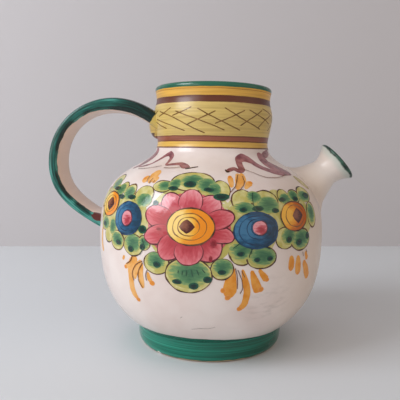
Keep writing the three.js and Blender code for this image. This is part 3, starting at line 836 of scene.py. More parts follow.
def cloudy_white(tree, where):
    """The colour of the white glaze: faint clouds, creamier towards the spout."""
    cloud = add(tree, "ShaderNodeTexNoise", {"Vector": where, "Scale": 1 / (30 * MM), "Detail": 3})
    cloud = add(tree, "ShaderNodeValToRGB", {0: cloud}, stops=[(0.35, "#dccbc4"), (0.65, "#e7dbd5")])
    place = add(tree, "ShaderNodeSeparateXYZ", {0: where})
    cream = add(tree, "ShaderNodeMapRange", {
        "Value": place.outputs["X"], "From Min": CREAM_SPAN[0] * MM, "From Max": CREAM_SPAN[1] * MM,
    })
    return covered(tree, cloud, (cream, linear(CREAM)))


def tin_glaze():
    """Opaque tin glaze on thrown clay: warm white with faint clouds, smudges, satin gloss, throwing rings."""
    finish, tree, shader, where = new_material("tin_glaze", 0.22)
    # Grey rubbing low on the front, towards the spout
    gap = add(tree, "ShaderNodeVectorMath", {0: where, 1: SMUDGE_PLACE}, operation="DISTANCE")
    near = add(tree, "ShaderNodeMapRange", {
        "Value": gap, "From Min": 6 * MM, "From Max": 22 * MM, "To Min": 1, "To Max": 0,
    })
    rub = add(tree, "ShaderNodeMapRange", {
        "Value": streaks(tree, where, (8.3, 8.3, 2.4), 4), "From Min": 0.5, "From Max": 0.7,
        "To Min": 0, "To Max": 0.28,
    })
    rub = add(tree, "ShaderNodeMath", {0: rub, 1: near}, operation="MULTIPLY")
    # The foot's green runs a little over the joint, farther on the handle's side, and ends in a dark line
    place = add(tree, "ShaderNodeSeparateXYZ", {0: where})
    farther = add(tree, "ShaderNodeMapRange", {
        "Value": place.outputs["X"], "From Min": 5 * MM, "From Max": 50 * MM,
        "To Min": -2.8 * MM, "To Max": 0,
    })
    height = add(tree, "ShaderNodeMath", {0: place.outputs["Z"], 1: farther}, operation="ADD")
    edge = wandering(tree, height, where, 12, -1.2 * MM)
    dark = add(tree, "ShaderNodeMapRange", {"Value": edge, "From Min": 14.7 * MM, "From Max": 14.9 * MM})
    overrun = covered(tree, linear("#146451"), (dark, linear("#1d3d33")))
    green = add(tree, "ShaderNodeMapRange", {
        "Value": edge, "From Min": 15.2 * MM, "From Max": 15.5 * MM, "To Min": 1, "To Max": 0,
    })
    colour = covered(tree, cloudy_white(tree, where), (rub, linear("#9a8d84")), (green, overrun))
    tree.links.new(colour, shader.inputs["Base Color"])
    rings = streaks(tree, where, (125, 125, 5), 2)
    bump = add(tree, "ShaderNodeBump", {"Height": rings, "Strength": 0.05, "Distance": 1 * MM})
    tree.links.new(bump.outputs[0], shader.inputs["Normal"])
    return finish


def spout_glaze():
    """The same white glaze on the spout, with a broken green line brushed on its lip."""
    finish, tree, shader, where = new_material("tin_glaze_with_green_lip", 0.28)
    reach = add(tree, "ShaderNodeVectorMath", {0: where, 1: SPOUT_WAY}, operation="DOT_PRODUCT")
    lip = SPOUT_WAY.dot(SPOUT_PLACE) + (SPOUT_LENGTH - 2) * MM
    # Whiter again away from the belly
    pale = add(tree, "ShaderNodeMapRange", {
        "Value": reach, "From Min": lip - 27 * MM, "From Max": lip - 13 * MM,
    })
    # The green is broader at the sides than at the top and the bottom, and fades out in a haze
    aside = add(tree, "ShaderNodeSeparateXYZ", {0: where}).outputs["Y"]
    aside = add(tree, "ShaderNodeMath", {0: aside}, operation="ABSOLUTE")
    reach = add(tree, "ShaderNodeMath", {0: aside, 1: 0.08, 2: reach}, operation="MULTIPLY_ADD")
    sway = wandering(tree, reach, where, 5, 2.6 * MM, Detail=2)
    haze = add(tree, "ShaderNodeMapRange", {
        "Value": sway, "From Min": lip - 4 * MM, "From Max": lip + 1.6 * MM, "To Min": 0, "To Max": 0.7,
    }, interpolation_type="SMOOTHSTEP")
    green = add(tree, "ShaderNodeMapRange", {
        "Value": sway, "From Min": lip + 1.2 * MM, "From Max": lip + 2 * MM,
    })
    pool = add(tree, "ShaderNodeTexNoise", {"Vector": where, "Scale": 1 / (4 * MM), "Detail": 2})
    pool = add(tree, "ShaderNodeValToRGB", {0: pool}, stops=[(0.4, "#0e2622"), (0.65, "#3a6252")])
    colour = covered(
        tree, cloudy_white(tree, where), (pale, linear("#e5dad2")), (haze, linear("#b9c9c0")), (green, pool),
    )
    tree.links.new(colour, shader.inputs["Base Color"])
    return finish


def banded_glaze():
    """Yellow glaze on the neck, streaked by the brush, with brown bands, a green rim and a white inside."""
    finish, tree, shader, where = new_material("lemon_glaze", 0.3)
    place = add(tree, "ShaderNodeSeparateXYZ", {0: where})
    sway = wandering(tree, place.outputs["Z"], where, 16, BAND_SWAY * MM, Detail=4, Roughness=0.6)
    low, high = NECK_BANDS[0][0], RIM_HEIGHT + 1
    share = add(tree, "ShaderNodeMapRange", {
        "Value": sway, "From Min": (low + BAND_SWAY / 2) * MM, "From Max": (high + BAND_SWAY / 2) * MM,
    })
    bands = [((height - low) / (high - low), code) for height, code in NECK_BANDS]
    bands = add(tree, "ShaderNodeValToRGB", {0: share}, stops=bands)
    bands.color_ramp.interpolation = "CONSTANT"
    streak = streaks(tree, where, (33, 33, 1.1), 3)
    ridges = add(tree, "ShaderNodeBump", {"Height": streak, "Strength": 0.12, "Distance": 1 * MM})
    tree.links.new(ridges.outputs[0], shader.inputs["Normal"])
    streak = add(tree, "ShaderNodeValToRGB", {0: streak}, stops=[(0.3, "#e0dcd6"), (0.6, "#ffffff")])
    brushed = add(tree, "ShaderNodeMix", {0: 1, 6: bands, 7: streak}, data_type="RGBA", blend_type="MULTIPLY")
    off_axis = add(tree, "ShaderNodeVectorMath", {0: where, 1: (AXIS, 0, 0)}, operation="SUBTRACT")
    off_axis = add(tree, "ShaderNodeVectorMath", {0: off_axis, 1: (1, 1, 0)}, operation="MULTIPLY")
    radius = add(tree, "ShaderNodeVectorMath", {0: off_axis}, operation="LENGTH")
    # White inside, and the lower brown band run up over the pad's lower end
    spots = []
    for bound, comparison, top, code in (
        (NECK_WHITE_RADIUS, "LESS_THAN", GREEN_RIM, "#e6dcd4"),
        (PAD_BROWN_RADIUS, "GREATER_THAN", PAD_BROWN_TOP, "#553622"),
    ):
        within = add(tree, "ShaderNodeMath", {0: radius, 1: bound * MM}, operation=comparison)
        below = add(tree, "ShaderNodeMath", {0: place.outputs["Z"], 1: top * MM}, operation="LESS_THAN")
        spot = add(tree, "ShaderNodeMath", {0: within, 1: below}, operation="MULTIPLY")
        spots.append((spot, linear(code)))
    colour = covered(tree, brushed.outputs[2], *spots)
    tree.links.new(colour, shader.inputs["Base Color"])
    # The thick green on the rim is glossier
    gloss = add(tree, "ShaderNodeMapRange", {
        "Value": sway, "From Min": GREEN_RIM * MM, "From Max": (GREEN_RIM + 1) * MM,
        "To Min": 0.3, "To Max": 0.12,
    })
    tree.links.new(gloss.outputs[0], shader.inputs["Roughness"])
    return finish


def foot_glaze():
    """Copper green brushed on while the foot turns, in fine streaks, with a bare buff edge at the bottom."""
    finish, tree, shader, where = new_material("copper_green_glaze", 0.16)
    streak = streaks(tree, where, (70, 70, 0.55), 3)
    place = add(tree, "ShaderNodeSeparateXYZ", {0: where})
    # Painted shade: lighter on the handle's side, towards the window light, and darker towards the spout's
    # side
    tone_shift = add(tree, "ShaderNodeMapRange", {
        "Value": place.outputs["X"], "From Min": -35 * MM, "From Max": 45 * MM,
        "To Min": 0.05, "To Max": -0.16,
    })
    tone = add(tree, "ShaderNodeMath", {0: streak, 1: tone_shift}, operation="ADD")
    stops = [(0.3, "#0d4f3f"), (0.5, "#10735e"), (0.7, "#2a937d")]
    green = add(tree, "ShaderNodeValToRGB", {0: tone}, stops=stops)
    edge = wandering(tree, place.outputs["Z"], where, 9, -2 * MM, Detail=3)
    bare = add(tree, "ShaderNodeMapRange", {
        "Value": edge, "From Min": 0.1 * MM, "From Max": 0.5 * MM, "To Min": 1, "To Max": 0,
    })
    # A small chip on the lower edge
    gap = add(tree, "ShaderNodeVectorMath", {0: where, 1: CHIP_PLACE}, operation="DISTANCE")
    chip = add(tree, "ShaderNodeMath", {0: edge, 1: 0.3, 2: gap}, operation="MULTIPLY_ADD")
    chip = add(tree, "ShaderNodeMapRange", {
        "Value": chip, "From Min": 1.5 * MM, "From Max": 1.9 * MM, "To Min": 1, "To Max": 0,
    })
    colour = covered(tree, green, (bare, linear("#b59b78")), (chip, linear("#ded6cc")))
    tree.links.new(colour, shader.inputs["Base Color"])
    return finish


def strap_glaze():
    """Copper green in long strokes on the strap's back and edges, dark near the neck; buff white inside."""
    finish, tree, shader, where = new_material("copper_green_strap", 0.22)
    brush = add(tree, "ShaderNodeAttribute", attribute_name="brush").outputs["Vector"]
    spot = add(tree, "ShaderNodeSeparateXYZ", {0: brush})
    strokes = [span / size for span, size in zip(STRAP_SPAN, STRAP_STROKE)]
    streak = add(tree, "ShaderNodeVectorMath", {0: brush, 1: strokes}, operation="MULTIPLY")
    streak = add(tree, "ShaderNodeTexNoise", {"Vector": streak, "Scale": 1, "Detail": 3})
    # Darker towards the neck's end
    dark = add(tree, "ShaderNodeMapRange", {
        "Value": spot.outputs["X"], "From Min": 0.078, "From Max": 0.223, "To Min": -0.3, "To Max": 0,
    })
    tone = add(tree, "ShaderNodeMath", {0: streak, 1: dark}, operation="ADD")
    # Thick dark strokes here and there along the inner edges
    inward = add(tree, "ShaderNodeMapRange", {
        "Value": spot.outputs["Z"], "From Min": 0, "From Max": -0.5, "To Min": 0, "To Max": -0.3,
    })
    thick = add(tree, "ShaderNodeTexNoise", {
        "W": spot.outputs["X"], "Scale": STRAP_SPAN[0] / THICK_STROKE, "Detail": 1,
    }, noise_dimensions="1D")
    thick = add(tree, "ShaderNodeMapRange", {"Value": thick, "From Min": 0.42, "From Max": 0.55})
    tone = add(tree, "ShaderNodeMath", {0: inward, 1: thick, 2: tone}, operation="MULTIPLY_ADD")
    # Thinner towards the belly's end
    tone_shift = add(tree, "ShaderNodeMapRange", {
        "Value": spot.outputs["X"], "From Min": 0.73, "From Max": 0.923, "To Min": 0, "To Max": 0.15,
    })
    tone = add(tree, "ShaderNodeMath", {0: tone, 1: tone_shift}, operation="ADD")
    stops = [(0.3, "#0a2622"), (0.44, "#144d45"), (0.56, "#20665c"), (0.68, "#4d9d91")]
    green = add(tree, "ShaderNodeValToRGB", {0: tone}, stops=stops)
    inner = wandering(tree, spot.outputs["Z"], where, 10, 0.3, Detail=2)
    inner = add(tree, "ShaderNodeMapRange", {
        "Value": inner, "From Min": -0.72, "From Max": -0.68, "To Min": 1, "To Max": 0,
    })
    # An iron-brown smear on the inner front edge at the lower end, longer along the strap than across it
    smear = add(tree, "ShaderNodeVectorMath", {0: brush, 1: SMEAR_SPAN}, operation="MULTIPLY")
    smear = add(tree, "ShaderNodeVectorMath", {0: smear, 1: SMEAR_PLACE}, operation="DISTANCE")
    smear = add(tree, "ShaderNodeMath", {0: streak, 1: 2.5, 2: smear}, operation="MULTIPLY_ADD")
    smear = add(tree, "ShaderNodeMapRange", {
        "Value": smear, "From Min": 4, "From Max": 4.5, "To Min": 1, "To Max": 0,
    })
    # The neck's yellow clay is drawn over the upper end
    collar = add(tree, "ShaderNodeMath", {
        0: streak, 1: -0.006, 2: spot.outputs["X"],
    }, operation="MULTIPLY_ADD")
    collar = add(tree, "ShaderNodeMapRange", {
        "Value": collar, "From Min": 0.0486, "From Max": 0.0505, "To Min": 1, "To Max": 0,
    })
    colour = covered(
        tree, green, (inner, linear("#e6cdbb")), (smear, linear("#5c2a26")), (collar, linear("#c9b05e")),
    )
    tree.links.new(colour, shader.inputs["Base Color"])
    return finish


def pigment(name, dark, light):
    """Metal-oxide colour brushed on the raw glaze and fired with it: pools dark and thins out light."""
    finish, tree, shader, where = new_material(name, PAINT_ROUGHNESS)
    ripple(tree, shader, where)
    pool = add(tree, "ShaderNodeTexNoise", {"Vector": where, "Scale": 1 / (5 * MM), "Detail": 3})
    pool = add(tree, "ShaderNodeValToRGB", {0: pool}, stops=[(0.38, dark), (0.62, light)])
    tree.links.new(pool.outputs["Color"], shader.inputs["Base Color"])
    return finish


def watery(name, stops, push=(0, 0), grain=0.7):
    """Thinned pigment in one rounded dab: its tone runs outwards from a middle that is pushed aside."""
    finish, tree, shader, where = new_material(name, PAINT_ROUGHNESS)
    ripple(tree, shader, where)
    brush = add(tree, "ShaderNodeAttribute", attribute_name="brush").outputs["Vector"]
    flat = add(tree, "ShaderNodeVectorMath", {0: brush, 1: (1, 1, 0)}, operation="MULTIPLY")
    gap = add(tree, "ShaderNodeVectorMath", {0: flat, 1: (*push, 0)}, operation="DISTANCE")
    spread = add(tree, "ShaderNodeVectorMath", {0: where, "Scale": 1 / (9 * MM)}, operation="SCALE")
    spread = add(tree, "ShaderNodeVectorMath", {
        0: brush, 1: BRUSH_HAIRS, 2: spread,
    }, operation="MULTIPLY_ADD")
    pool = add(tree, "ShaderNodeTexNoise", {"Vector": spread, "Scale": 1, "Detail": 3})
    pool = add(tree, "ShaderNodeMapRange", {"Value": pool, "To Min": -grain, "To Max": grain})
    tone = add(tree, "ShaderNodeMath", {0: gap, 1: pool}, operation="ADD")
    # A ramp ends at 1, so two half widths are brought within it
    tone = add(tree, "ShaderNodeMath", {0: tone, 1: 0.5}, operation="MULTIPLY")
    tone = add(tree, "ShaderNodeValToRGB", {0: tone}, stops=stops)
    tree.links.new(tone.outputs["Color"], shader.inputs["Base Color"])
    return finish


# Making the pieces

SHARP = math.radians(50)
WELD = 0.001
PLUG_SIDES = 96
PLUG_DEPTH = 40
PAD_SIDES = (48, 32)


def linked(name, data):
    """A new object in the scene."""
    thing = bpy.data.objects.new(name, data)
    bpy.context.collection.objects.link(thing)
    return thing


def profile_object(name, points):
    """A line of points in the plane of the wheel axis, as a curve."""
    data = bpy.data.curves.new(name, "CURVE")
    data.dimensions = "3D"
    line = data.splines.new("POLY")
    line.points.add(len(points) - 1)
    for spot, (x, z) in zip(line.points, points):
        spot.co = (x * MM, 0, z * MM, 1)
    return linked(name, data)


def strokes_object(name, strokes):
    """Chains of flat points joined by edges, with a half width at each point."""
    mesh = bpy.data.meshes.new(name)
    points = []
    edges = []
    for stroke in strokes:
        edges += [(len(points) + i, len(points) + i + 1) for i in range(len(stroke) - 1)]
        points += stroke
    mesh.from_pydata([(across * MM, up * MM, 0) for across, up, _ in points], edges, [])
    width = mesh.attributes.new("width", "FLOAT", "POINT")
    for i, point in enumerate(points):
        width.data[i].value = point[2] * MM
    return linked(name, mesh)


def shapes_object(name, shapes):
    """One flat point for each shape, with its half sizes, turn and lift.

    A shape is (layer, steps above the layer, (across, up, half width, half height), turn in degrees).
    """
    mesh = bpy.data.meshes.new(name)
    mesh.from_pydata([(sizes[0] * MM, sizes[1] * MM, 0) for _, _, sizes, _ in shapes], [], [])
    mesh.attributes.new("half", "FLOAT_VECTOR", "POINT")
    mesh.attributes.new("turn", "FLOAT_VECTOR", "POINT")
    mesh.attributes.new("lift", "FLOAT", "POINT")
    for i, (layer, step, sizes, degrees) in enumerate(shapes):
        mesh.attributes["half"].data[i].vector = (sizes[2] * MM, sizes[3] * MM, 0)
        mesh.attributes["turn"].data[i].vector = (0, 0, math.radians(degrees))
        mesh.attributes["lift"].data[i].value = (LIFTS[layer] + step * SHAPE_STEP) * MM
    return linked(name, mesh)


def plain_mesh(thing):
    """The mesh of an object as its modifiers leave it; the object itself is removed."""
    graph = bpy.context.evaluated_depsgraph_get()
    mesh = bpy.data.meshes.new_from_object(thing.evaluated_get(graph))
    bpy.data.objects.remove(thing)
    return mesh


def grown(name, base, tree, values):
    """The closed smooth piece that a node tree grows from a base object, set on the wheel axis."""
    modifier = base.modifiers.new(tree.name, "NODES")
    modifier.node_group = tree
    for socket in tree.interface.items_tree:
        if socket.in_out == "INPUT" and socket.name in values:
            modifier[socket.identifier] = values[socket.name]
    mesh = plain_mesh(base)
    shell = bmesh.new()
    shell.from_mesh(mesh)
    bmesh.ops.remove_doubles(shell, verts=shell.verts, dist=WELD * MM)
    bmesh.ops.holes_fill(shell, edges=shell.edges, sides=STRAP_SIDES)
    bmesh.ops.recalc_face_normals(shell, faces=shell.faces)
    for face in shell.faces:
        face.smooth = True
    for edge in shell.edges:
        edge.smooth = edge.calc_face_angle(0) < SHARP
    bmesh.ops.translate(shell, verts=shell.verts, vec=(AXIS, 0, 0))
    shell.to_mesh(mesh)
    shell.free()
    return linked(name, mesh)


def thrown(name, profile, sides, finish):
    """A piece turned on the wheel from its profile."""
    return grown(name, profile_object(name + "_line", profile), turned, {"Sides": sides, "Finish": finish})


def settle(piece, slot, *nodes):
    """The piece rides with the pitcher and stands for the given solids, which are hidden; the slot is not
    used.
    """
    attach(piece, "root")
    if nodes:
        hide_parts(*nodes)


def bored(name, piece, radius, matrix):
    """The piece with a round hole along the local Z of a matrix."""
    plug = bmesh.new()
    bmesh.ops.create_cone(
        plug, cap_ends=True, segments=PLUG_SIDES, radius1=radius, radius2=radius, depth=PLUG_DEPTH * MM,
        matrix=matrix,
    )
    mesh = bpy.data.meshes.new("plug")
    plug.to_mesh(mesh)
    plug.free()
    cutter = linked("plug", mesh)
    cut = piece.modifiers.new("hole", "BOOLEAN")
    cut.object = cutter
    bored_mesh = plain_mesh(piece)
    bpy.data.objects.remove(cutter)
    return linked(name, bored_mesh)


def saddled(piece, under):
    """The spout with its root bent down on the belly all round, fading out up the spout."""
    bpy.context.view_layer.update()
    for vertex in piece.data.vertices:
        reach = (vertex.co - SPOUT_PLACE).dot(SPOUT_WAY)
        off_axis = (vertex.co - SPOUT_PLACE - reach * SPOUT_WAY).length
        share = min(max((SADDLE_TOP * MM - reach) / ((SADDLE_TOP - SADDLE_FIT) * MM), 0), 1)
        if off_axis > (SPOUT_HOLE + 1) * MM and share > 0:
            above = vertex.co + (SPOUT_LENGTH * MM - reach) * SPOUT_WAY
            met = under.ray_cast(above, -SPOUT_WAY)[1]
            share = share * share * (3 - 2 * share)
            vertex.co += share * (met - SPOUT_PLACE).dot(SPOUT_WAY) * SPOUT_WAY


def in_order(shape):
    """Corners and faces of a bmesh, in an order that is the same on every run."""
    corners = sorted(shape.verts, key=lambda corner: corner.co[:])
    number = {corner: i for i, corner in enumerate(corners)}
    faces = []
    for face in shape.faces:
        ring = [number[corner] for corner in face.verts]
        first = ring.index(min(ring))
        faces.append(ring[first:] + ring[:first])
    return [corner.co[:] for corner in corners], sorted(faces)


def lump(name, middle, half, top, finish):
    """A ball of clay squeezed to half sizes and cut off flat at a height."""
    ball = bmesh.new()
    place = Matrix.Translation(middle) @ Matrix.Diagonal((*half, 1))
    bmesh.ops.create_uvsphere(ball, u_segments=PAD_SIDES[0], v_segments=PAD_SIDES[1], radius=1, matrix=place)
    everything = ball.verts[:] + ball.edges[:] + ball.faces[:]
    bmesh.ops.bisect_plane(ball, geom=everything, plane_co=(0, 0, top), plane_no=(0, 0, 1), clear_outer=True)
    bmesh.ops.holes_fill(ball, edges=ball.edges, sides=0)
    bmesh.ops.recalc_face_normals(ball, faces=ball.faces)
    corners, faces = in_order(ball)
    ball.free()
    mesh = bpy.data.meshes.new(name)
    mesh.from_pydata(corners, [], faces, shade_flat=False)
    mesh.materials.append(finish)
    return linked(name, mesh)


turned = turned_tree()
lemon = banded_glaze()
lay_over = Matrix.Translation(SPOUT_PLACE) @ Matrix.Rotation(math.radians(90 - SPOUT_TILT), 4, "Y")
neck_middle = Matrix.Translation((AXIS, 0, STRAP_NECK[1] * MM))
belly_middle = Matrix.Translation((AXIS, 0, STRAP_BELLY[1] * MM))

belly = thrown("belly_solid", BELLY_PROFILE, BELLY_SIDES, tin_glaze())
belly = bored("belly_glazed", belly, SPOUT_HOLE * MM, lay_over)
settle(belly, "tin_glaze", "belly")

neck = thrown("neck_glazed", NECK_PROFILE, NECK_SIDES, lemon)
settle(neck, "lemon_glaze", "neck_collar", "neck_slip")

foot = thrown("foot_glazed", FOOT_PROFILE, FOOT_SIDES, foot_glaze())
settle(foot, "copper_green_glaze", "foot_ring", "foot_slip")

spout = thrown("spout_glazed", SPOUT_PROFILE, SPOUT_SIDES, spout_glaze())
spout.data.transform(lay_over @ Matrix.Translation((-AXIS, 0, 0)))
saddled(spout, belly)
settle(spout, "tin_glaze", "spout", "spout_slip")

strap = grown("handle_solid", profile_object("strap_line", STRAP_LINE), strap_tree(), {
    "Sides": STRAP_SIDES, "Squareness": STRAP_SQUARENESS, "NeckWidth": STRAP_WIDTHS[0] * MM,
    "BellyWidth": STRAP_WIDTHS[1] * MM, "CrestThickness": STRAP_THICKNESSES[0] * MM,
    "TailThickness": STRAP_THICKNESSES[1] * MM, "Flare": STRAP_FLARE * MM, "Finish": strap_glaze(),
})
strap = bored("handle_trimmed", strap, NECK_TRIM * MM, neck_middle)
strap = bored("handle_glazed", strap, BELLY_TRIM * MM, belly_middle)
settle(strap, "copper_green_glaze", "handle_strap", "handle_neck_slip", "handle_belly_slip")

pad_height = STRAP_NECK[1] - STRAP_THICKNESSES[0] / 2
pad_middle = (AXIS + (STRAP_NECK[0] + PAD_STAND_OFF) * MM, 0, pad_height * MM)
pad_half = (2 * PAD_STAND_OFF * MM, PAD_WIDTH / 2 * MM, PAD_HEIGHT / 2 * MM)
pad = lump("pad_solid", pad_middle, pad_half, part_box("handle_pad")[1].z, lemon)
pad = bored("pad_glazed", pad, NECK_TRIM * MM, neck_middle)
settle(pad, "lemon_glaze", "handle_pad")


# Painting

def arc_length(line):
    """Length along a line of points."""
    return sum(math.dist(a, b) for a, b in zip(line[:-1], line[1:]))


def stacked(layer, shapes):
    """Shapes of one layer, each a step above the one before."""
    return [(layer, step, shape, 0) for step, shape in enumerate(shapes)]


def level(layer, shapes):
    """Shapes of one layer that lie apart from one another."""
    return [(layer, 0, shape, 0) for shape in shapes]


def petal(step, direction, half_breadth):
    """A petal of the rose, long from under the disc to the flower's oval."""
    way = Vector(along((0, 0), direction, 1))
    tip = 1 / math.hypot(way.x / ROSE_REACH[0], way.y / ROSE_REACH[1])
    root = tip / 3
    middle = ROSE_MIDDLE + way * (tip + root) / 2
    return ("petal", step, (*middle, (tip - root) / 2, half_breadth), direction)


def of_width(lines, half_width):
    """Strokes of one half width."""
    return [[(*point, half_width) for point in line] for line in lines]


def paint(name, base, tree, values, slot="tin_glaze"):
    """Lays one layer of painting on the clay."""
    settle(grown("painted_" + name, base, tree, values), slot)


belly_clay = profile_object("belly_outside", BELLY_LINE)
neck_clay = profile_object("neck_outside", NECK_LINE)
on_belly = {
    "Clay": belly_clay, "ArcZero": arc_length(belly_low) * MM, "TurnRadius": BELLY_WIDEST[0] * MM,
    "Wobble": BELLY_WOBBLE * MM,
}
on_neck = {
    "Clay": neck_clay, "ArcZero": 0.0, "TurnRadius": LATTICE_RADIUS * MM, "Wobble": NECK_WOBBLE * MM,
}

leaves = [leaf for group in LEAVES.values() for leaf in stacked("leaf", group)]
petals = [petal(step, *sizes) for step, sizes in enumerate(PETALS)]
pale_petals = [shape for shape in petals if shape[3] in PALE_DIRECTIONS]
deep_petals = [shape for shape in petals if shape[3] not in PALE_DIRECTIONS]
yellow_flowers = level("flower", YELLOW_FLOWERS)
orange_flowers = level("flower", ORANGE_FLOWERS)
blue_flowers = level("flower", BLUE_FLOWERS)
red_hearts = level("heart", RED_HEARTS)

# Colours of the shapes, each from its middle outwards
leaf_green = watery(
    "copper_leaf_green", [(0.1, "#3c6b4a"), (0.3, "#578457"), (0.43, "#819c63"), (0.5, "#b1ad60")],
    (0.1, 0.1), 0.5,
)
dark_green = watery("dark_copper_green", [(0.25, "#0f2d28"), (0.5, "#1f5a43")])
rose = watery("rose_petal", [(0.25, "#af343e"), (0.5, "#c14c55"), (0.85, "#da7c82")], (-0.7, 0))
# Paler rose for the upper petals: thinner paint and a painted highlight of the window's reflection
pale_rose = watery("rose_petal_painted_highlight", [(0.25, "#bb4853"), (0.5, "#cf6871"), (0.85, "#e3999e")], (-0.7, 0))
crimson = watery("crimson_pool", [(0.25, "#841d27"), (0.5, "#a73742")])
cobalt = watery("cobalt_blue", [(0.15, "#3f7397"), (0.4, "#1f5479"), (0.68, "#133950")], (-0.6, 0.1), 0.9)
antimony = watery(
    "antimony_yellow", [(0.34, "#f1cd70"), (0.48, "#ecad3a"), (0.56, "#e78b1c")], (-0.75, 0.1), 0.25,
)
iron_orange = watery(
    "iron_orange", [(0.25, "#efb23e"), (0.4, "#e08e1c"), (0.56, "#bb5c08")], (-0.75, 0.1), 0.4,
)
heart_brown = watery("manganese_brown", [(0.2, "#86523f"), (0.5, "#4f2520")], (-0.5, 0.2))
carmine = watery("carmine", [(0.12, "#a03440"), (0.3, "#bb515d"), (0.48, "#de959c")], (0.2, -0.3))
ochre_pool = watery("ochre_pool", [(0.25, "#d9852c"), (0.5, "#e39a48")])

ROUND = 0.0
ANGULAR = 0.65
lay_on = lay_on_tree()
shapes = shapes_tree(lay_on)
for name, group, corners, finish in (
    ("washes", stacked("wash", WASHES), ROUND, pigment("yellow_green_wash", "#b5ab58", "#cbc388")),
    ("leaves", leaves, ROUND, pigment("yellow_green_leaf", "#b9ae5c", "#d0c98c")),
    ("leaf_greens", level("leaf_green", LEAF_GREENS), ROUND, leaf_green),
    ("rose_wash", stacked("rose_wash", ROSE_WASH), ROUND, pigment("rose_wash", "#c2505a", "#cf6f77")),
    ("petals", deep_petals, ROUND, rose),
    ("pale_petals", pale_petals, ROUND, pale_rose),
    ("dabs", level("dab", DABS), ROUND, dark_green),
    ("crimson_dabs", level("dab", CRIMSON_DABS), ROUND, crimson),
    ("blue_flowers", blue_flowers, ROUND, cobalt),
    ("yellow_flowers", yellow_flowers, ROUND, antimony),
    ("orange_flowers", orange_flowers, ROUND, iron_orange),
    ("brown_hearts", level("heart", BROWN_HEARTS), ANGULAR, heart_brown),
    ("red_hearts", red_hearts, ROUND, carmine),
    ("sprig_tips", level("leaf", SPRIG_TIPS), ROUND, ochre_pool),
):
    paint(name, shapes_object(name, group), shapes, {**on_belly, "Corners": corners, "Finish": finish})

EVEN = 0.0
OPEN_AT_ROOT = 0.8
manganese = pigment("manganese_line", "#3d291d", "#6e4a30")
crimson_line = pigment("crimson_line", "#4e1c22", "#7d3038")
cobalt_line = pigment("cobalt_line", "#142b45", "#234a70")
olive_brown = pigment("olive_brown_line", "#6b4423", "#93662f")
outlines = outlines_tree(lay_on)
for name, group, half_width, thinning, finish in (
    ("brown_outlines", leaves + yellow_flowers + orange_flowers, OUTLINE, EVEN, manganese),
    ("petal_outlines", petals + red_hearts, OUTLINE, OPEN_AT_ROOT, crimson_line),
    ("blue_outlines", blue_flowers, OUTLINE, EVEN, cobalt_line),
    ("brown_rings", level("ring", BROWN_RINGS), RING, EVEN, olive_brown),
    ("blue_rings", level("ring", BLUE_RINGS), RING, EVEN, cobalt_line),
):
    paint(name, shapes_object(name, group), outlines, {
        **on_belly, "HalfWidth": half_width * MM, "RootThinning": thinning, "Finish": finish,
    })

hairlines = of_width(HAIRLINES, HAIRLINE)
scratches = of_width(SCRATCHES, SCRATCH)
leaf_lines = of_width(LEAF_LINES, HAIRLINE)
lattice = of_width(LATTICE, LATTICE_LINE)
strokes = strokes_tree(lay_on)
for name, group, layer, finish in (
    ("sprigs", SPRIGS, "wash", pigment("ochre_wash", "#da8719", "#e49e3e")),
    ("pale_sprigs", PALE_SPRIGS, "wash", pigment("thin_ochre_wash", "#e09b45", "#e9b169")),
    ("scrolls", SCROLLS, "wash", pigment("manganese_purple", "#7a4248", "#a36c6e")),
    ("olive_stroke", OLIVE_STROKE, "wash", pigment("olive_wash", "#9c8c4a", "#b5a566")),
    ("dark_tails", DARK_TAILS, "leaf", pigment("manganese_dark", "#2a1614", "#44241f")),
    ("hairlines", hairlines, "dab", pigment("manganese_hairline", "#532a1c", "#84502f")),
    ("scratches", scratches, "wash", pigment("grey_scratch", "#6f625c", "#a3968f")),
    ("leaf_lines", leaf_lines, "dab", pigment("dark_green_line", "#1d3a2e", "#33543f")),
):
    paint(name, strokes_object(name, group), strokes, {
        **on_belly, "Lift": LIFTS[layer] * MM, "Finish": finish,
    })
paint("lattice", strokes_object("lattice", lattice), strokes, {
    **on_neck, "Lift": LIFTS["wash"] * MM, "Finish": pigment("manganese_lattice", "#66451f", "#8d6834"),
}, "lemon_glaze")

bpy.data.objects.remove(belly_clay)
bpy.data.objects.remove(neck_clay)


# Stage, light and camera, in metres

def plain_sheet(name, corners, code):
    """A flat matt sheet of the stage."""
    mesh = bpy.data.meshes.new(name)
    mesh.from_pydata(corners, [], [range(len(corners))])
    finish = bpy.data.materials.new(name)
    finish.use_nodes = True
    shader = finish.node_tree.nodes["Principled BSDF"]
    shader.inputs["Base Color"].default_value = linear(code)
    shader.inputs["Roughness"].default_value = 0.8
    mesh.materials.append(finish)
    return linked(name, mesh)


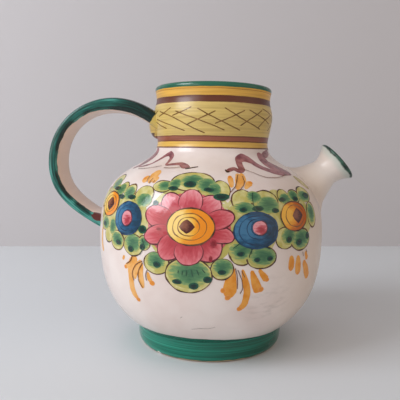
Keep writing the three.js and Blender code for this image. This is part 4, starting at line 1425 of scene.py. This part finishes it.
def soft_lamp(name, place, aim, size, power, code):
    """A square soft lamp pointed at a place."""
    data = bpy.data.lights.new(name, "AREA")
    data.size = size
    data.energy = power
    data.color = linear(code)[:3]
    lamp = linked(name, data)
    lamp.visible_camera = False
    lamp.location = place
    lamp.rotation_euler = (Vector(aim) - Vector(place)).to_track_quat("-Z", "Y").to_euler()


REACH = 3
WALL_LEFT = 0.067
WALL_RIGHT = 0.621
floor = plain_sheet("floor", [
    (-REACH, -REACH, 0), (REACH, -REACH, 0), (REACH, WALL_RIGHT, 0), (-REACH, WALL_LEFT, 0),
], "#d8dbde")
backdrop = plain_sheet("backdrop", [
    (-REACH, WALL_LEFT, 0), (REACH, WALL_RIGHT, 0), (REACH, WALL_RIGHT, REACH), (-REACH, WALL_LEFT, REACH),
], "#c3c0c2")

POT_MIDDLE = (AXIS, 0, 0.09)
soft_lamp("window", (-0.93, -0.5, 0.82), POT_MIDDLE, 0.6, 9, "#f0f6ff")
soft_lamp("pale_wall", (-1, -1, 0.48), POT_MIDDLE, 0.9, 5.5, "#fff8f2")
soft_lamp("warm_bounce", (1, -0.45, 0.4), POT_MIDDLE, 1, 1.1, "#ffd2a4")

world = bpy.data.worlds.new("studio")
world.use_nodes = True
sky = world.node_tree.nodes["Background"]
sky.inputs["Color"].default_value = linear("#f4eeea")
sky.inputs["Strength"].default_value = 0.52
scene = bpy.context.scene
scene.world = world
scene.view_settings.view_transform = "Standard"

# 350 mm before the wheel axis, level with the neck's lower edge, tipped down and a little to one side
CAMERA_PLACE = (AXIS, -0.35, 0.133)
CAMERA_TIP = 5.45
CAMERA_ROLL = 1
lens = bpy.data.cameras.new("camera")
lens.sensor_width = 36
lens.lens = 44.1
lens.shift_x = -0.0291
camera = linked("camera", lens)
camera.location = CAMERA_PLACE
tip = Matrix.Rotation(math.radians(90 - CAMERA_TIP), 3, "X")
camera.rotation_euler = (tip @ Matrix.Rotation(math.radians(CAMERA_ROLL), 3, "Z")).to_euler()
scene.camera = camera
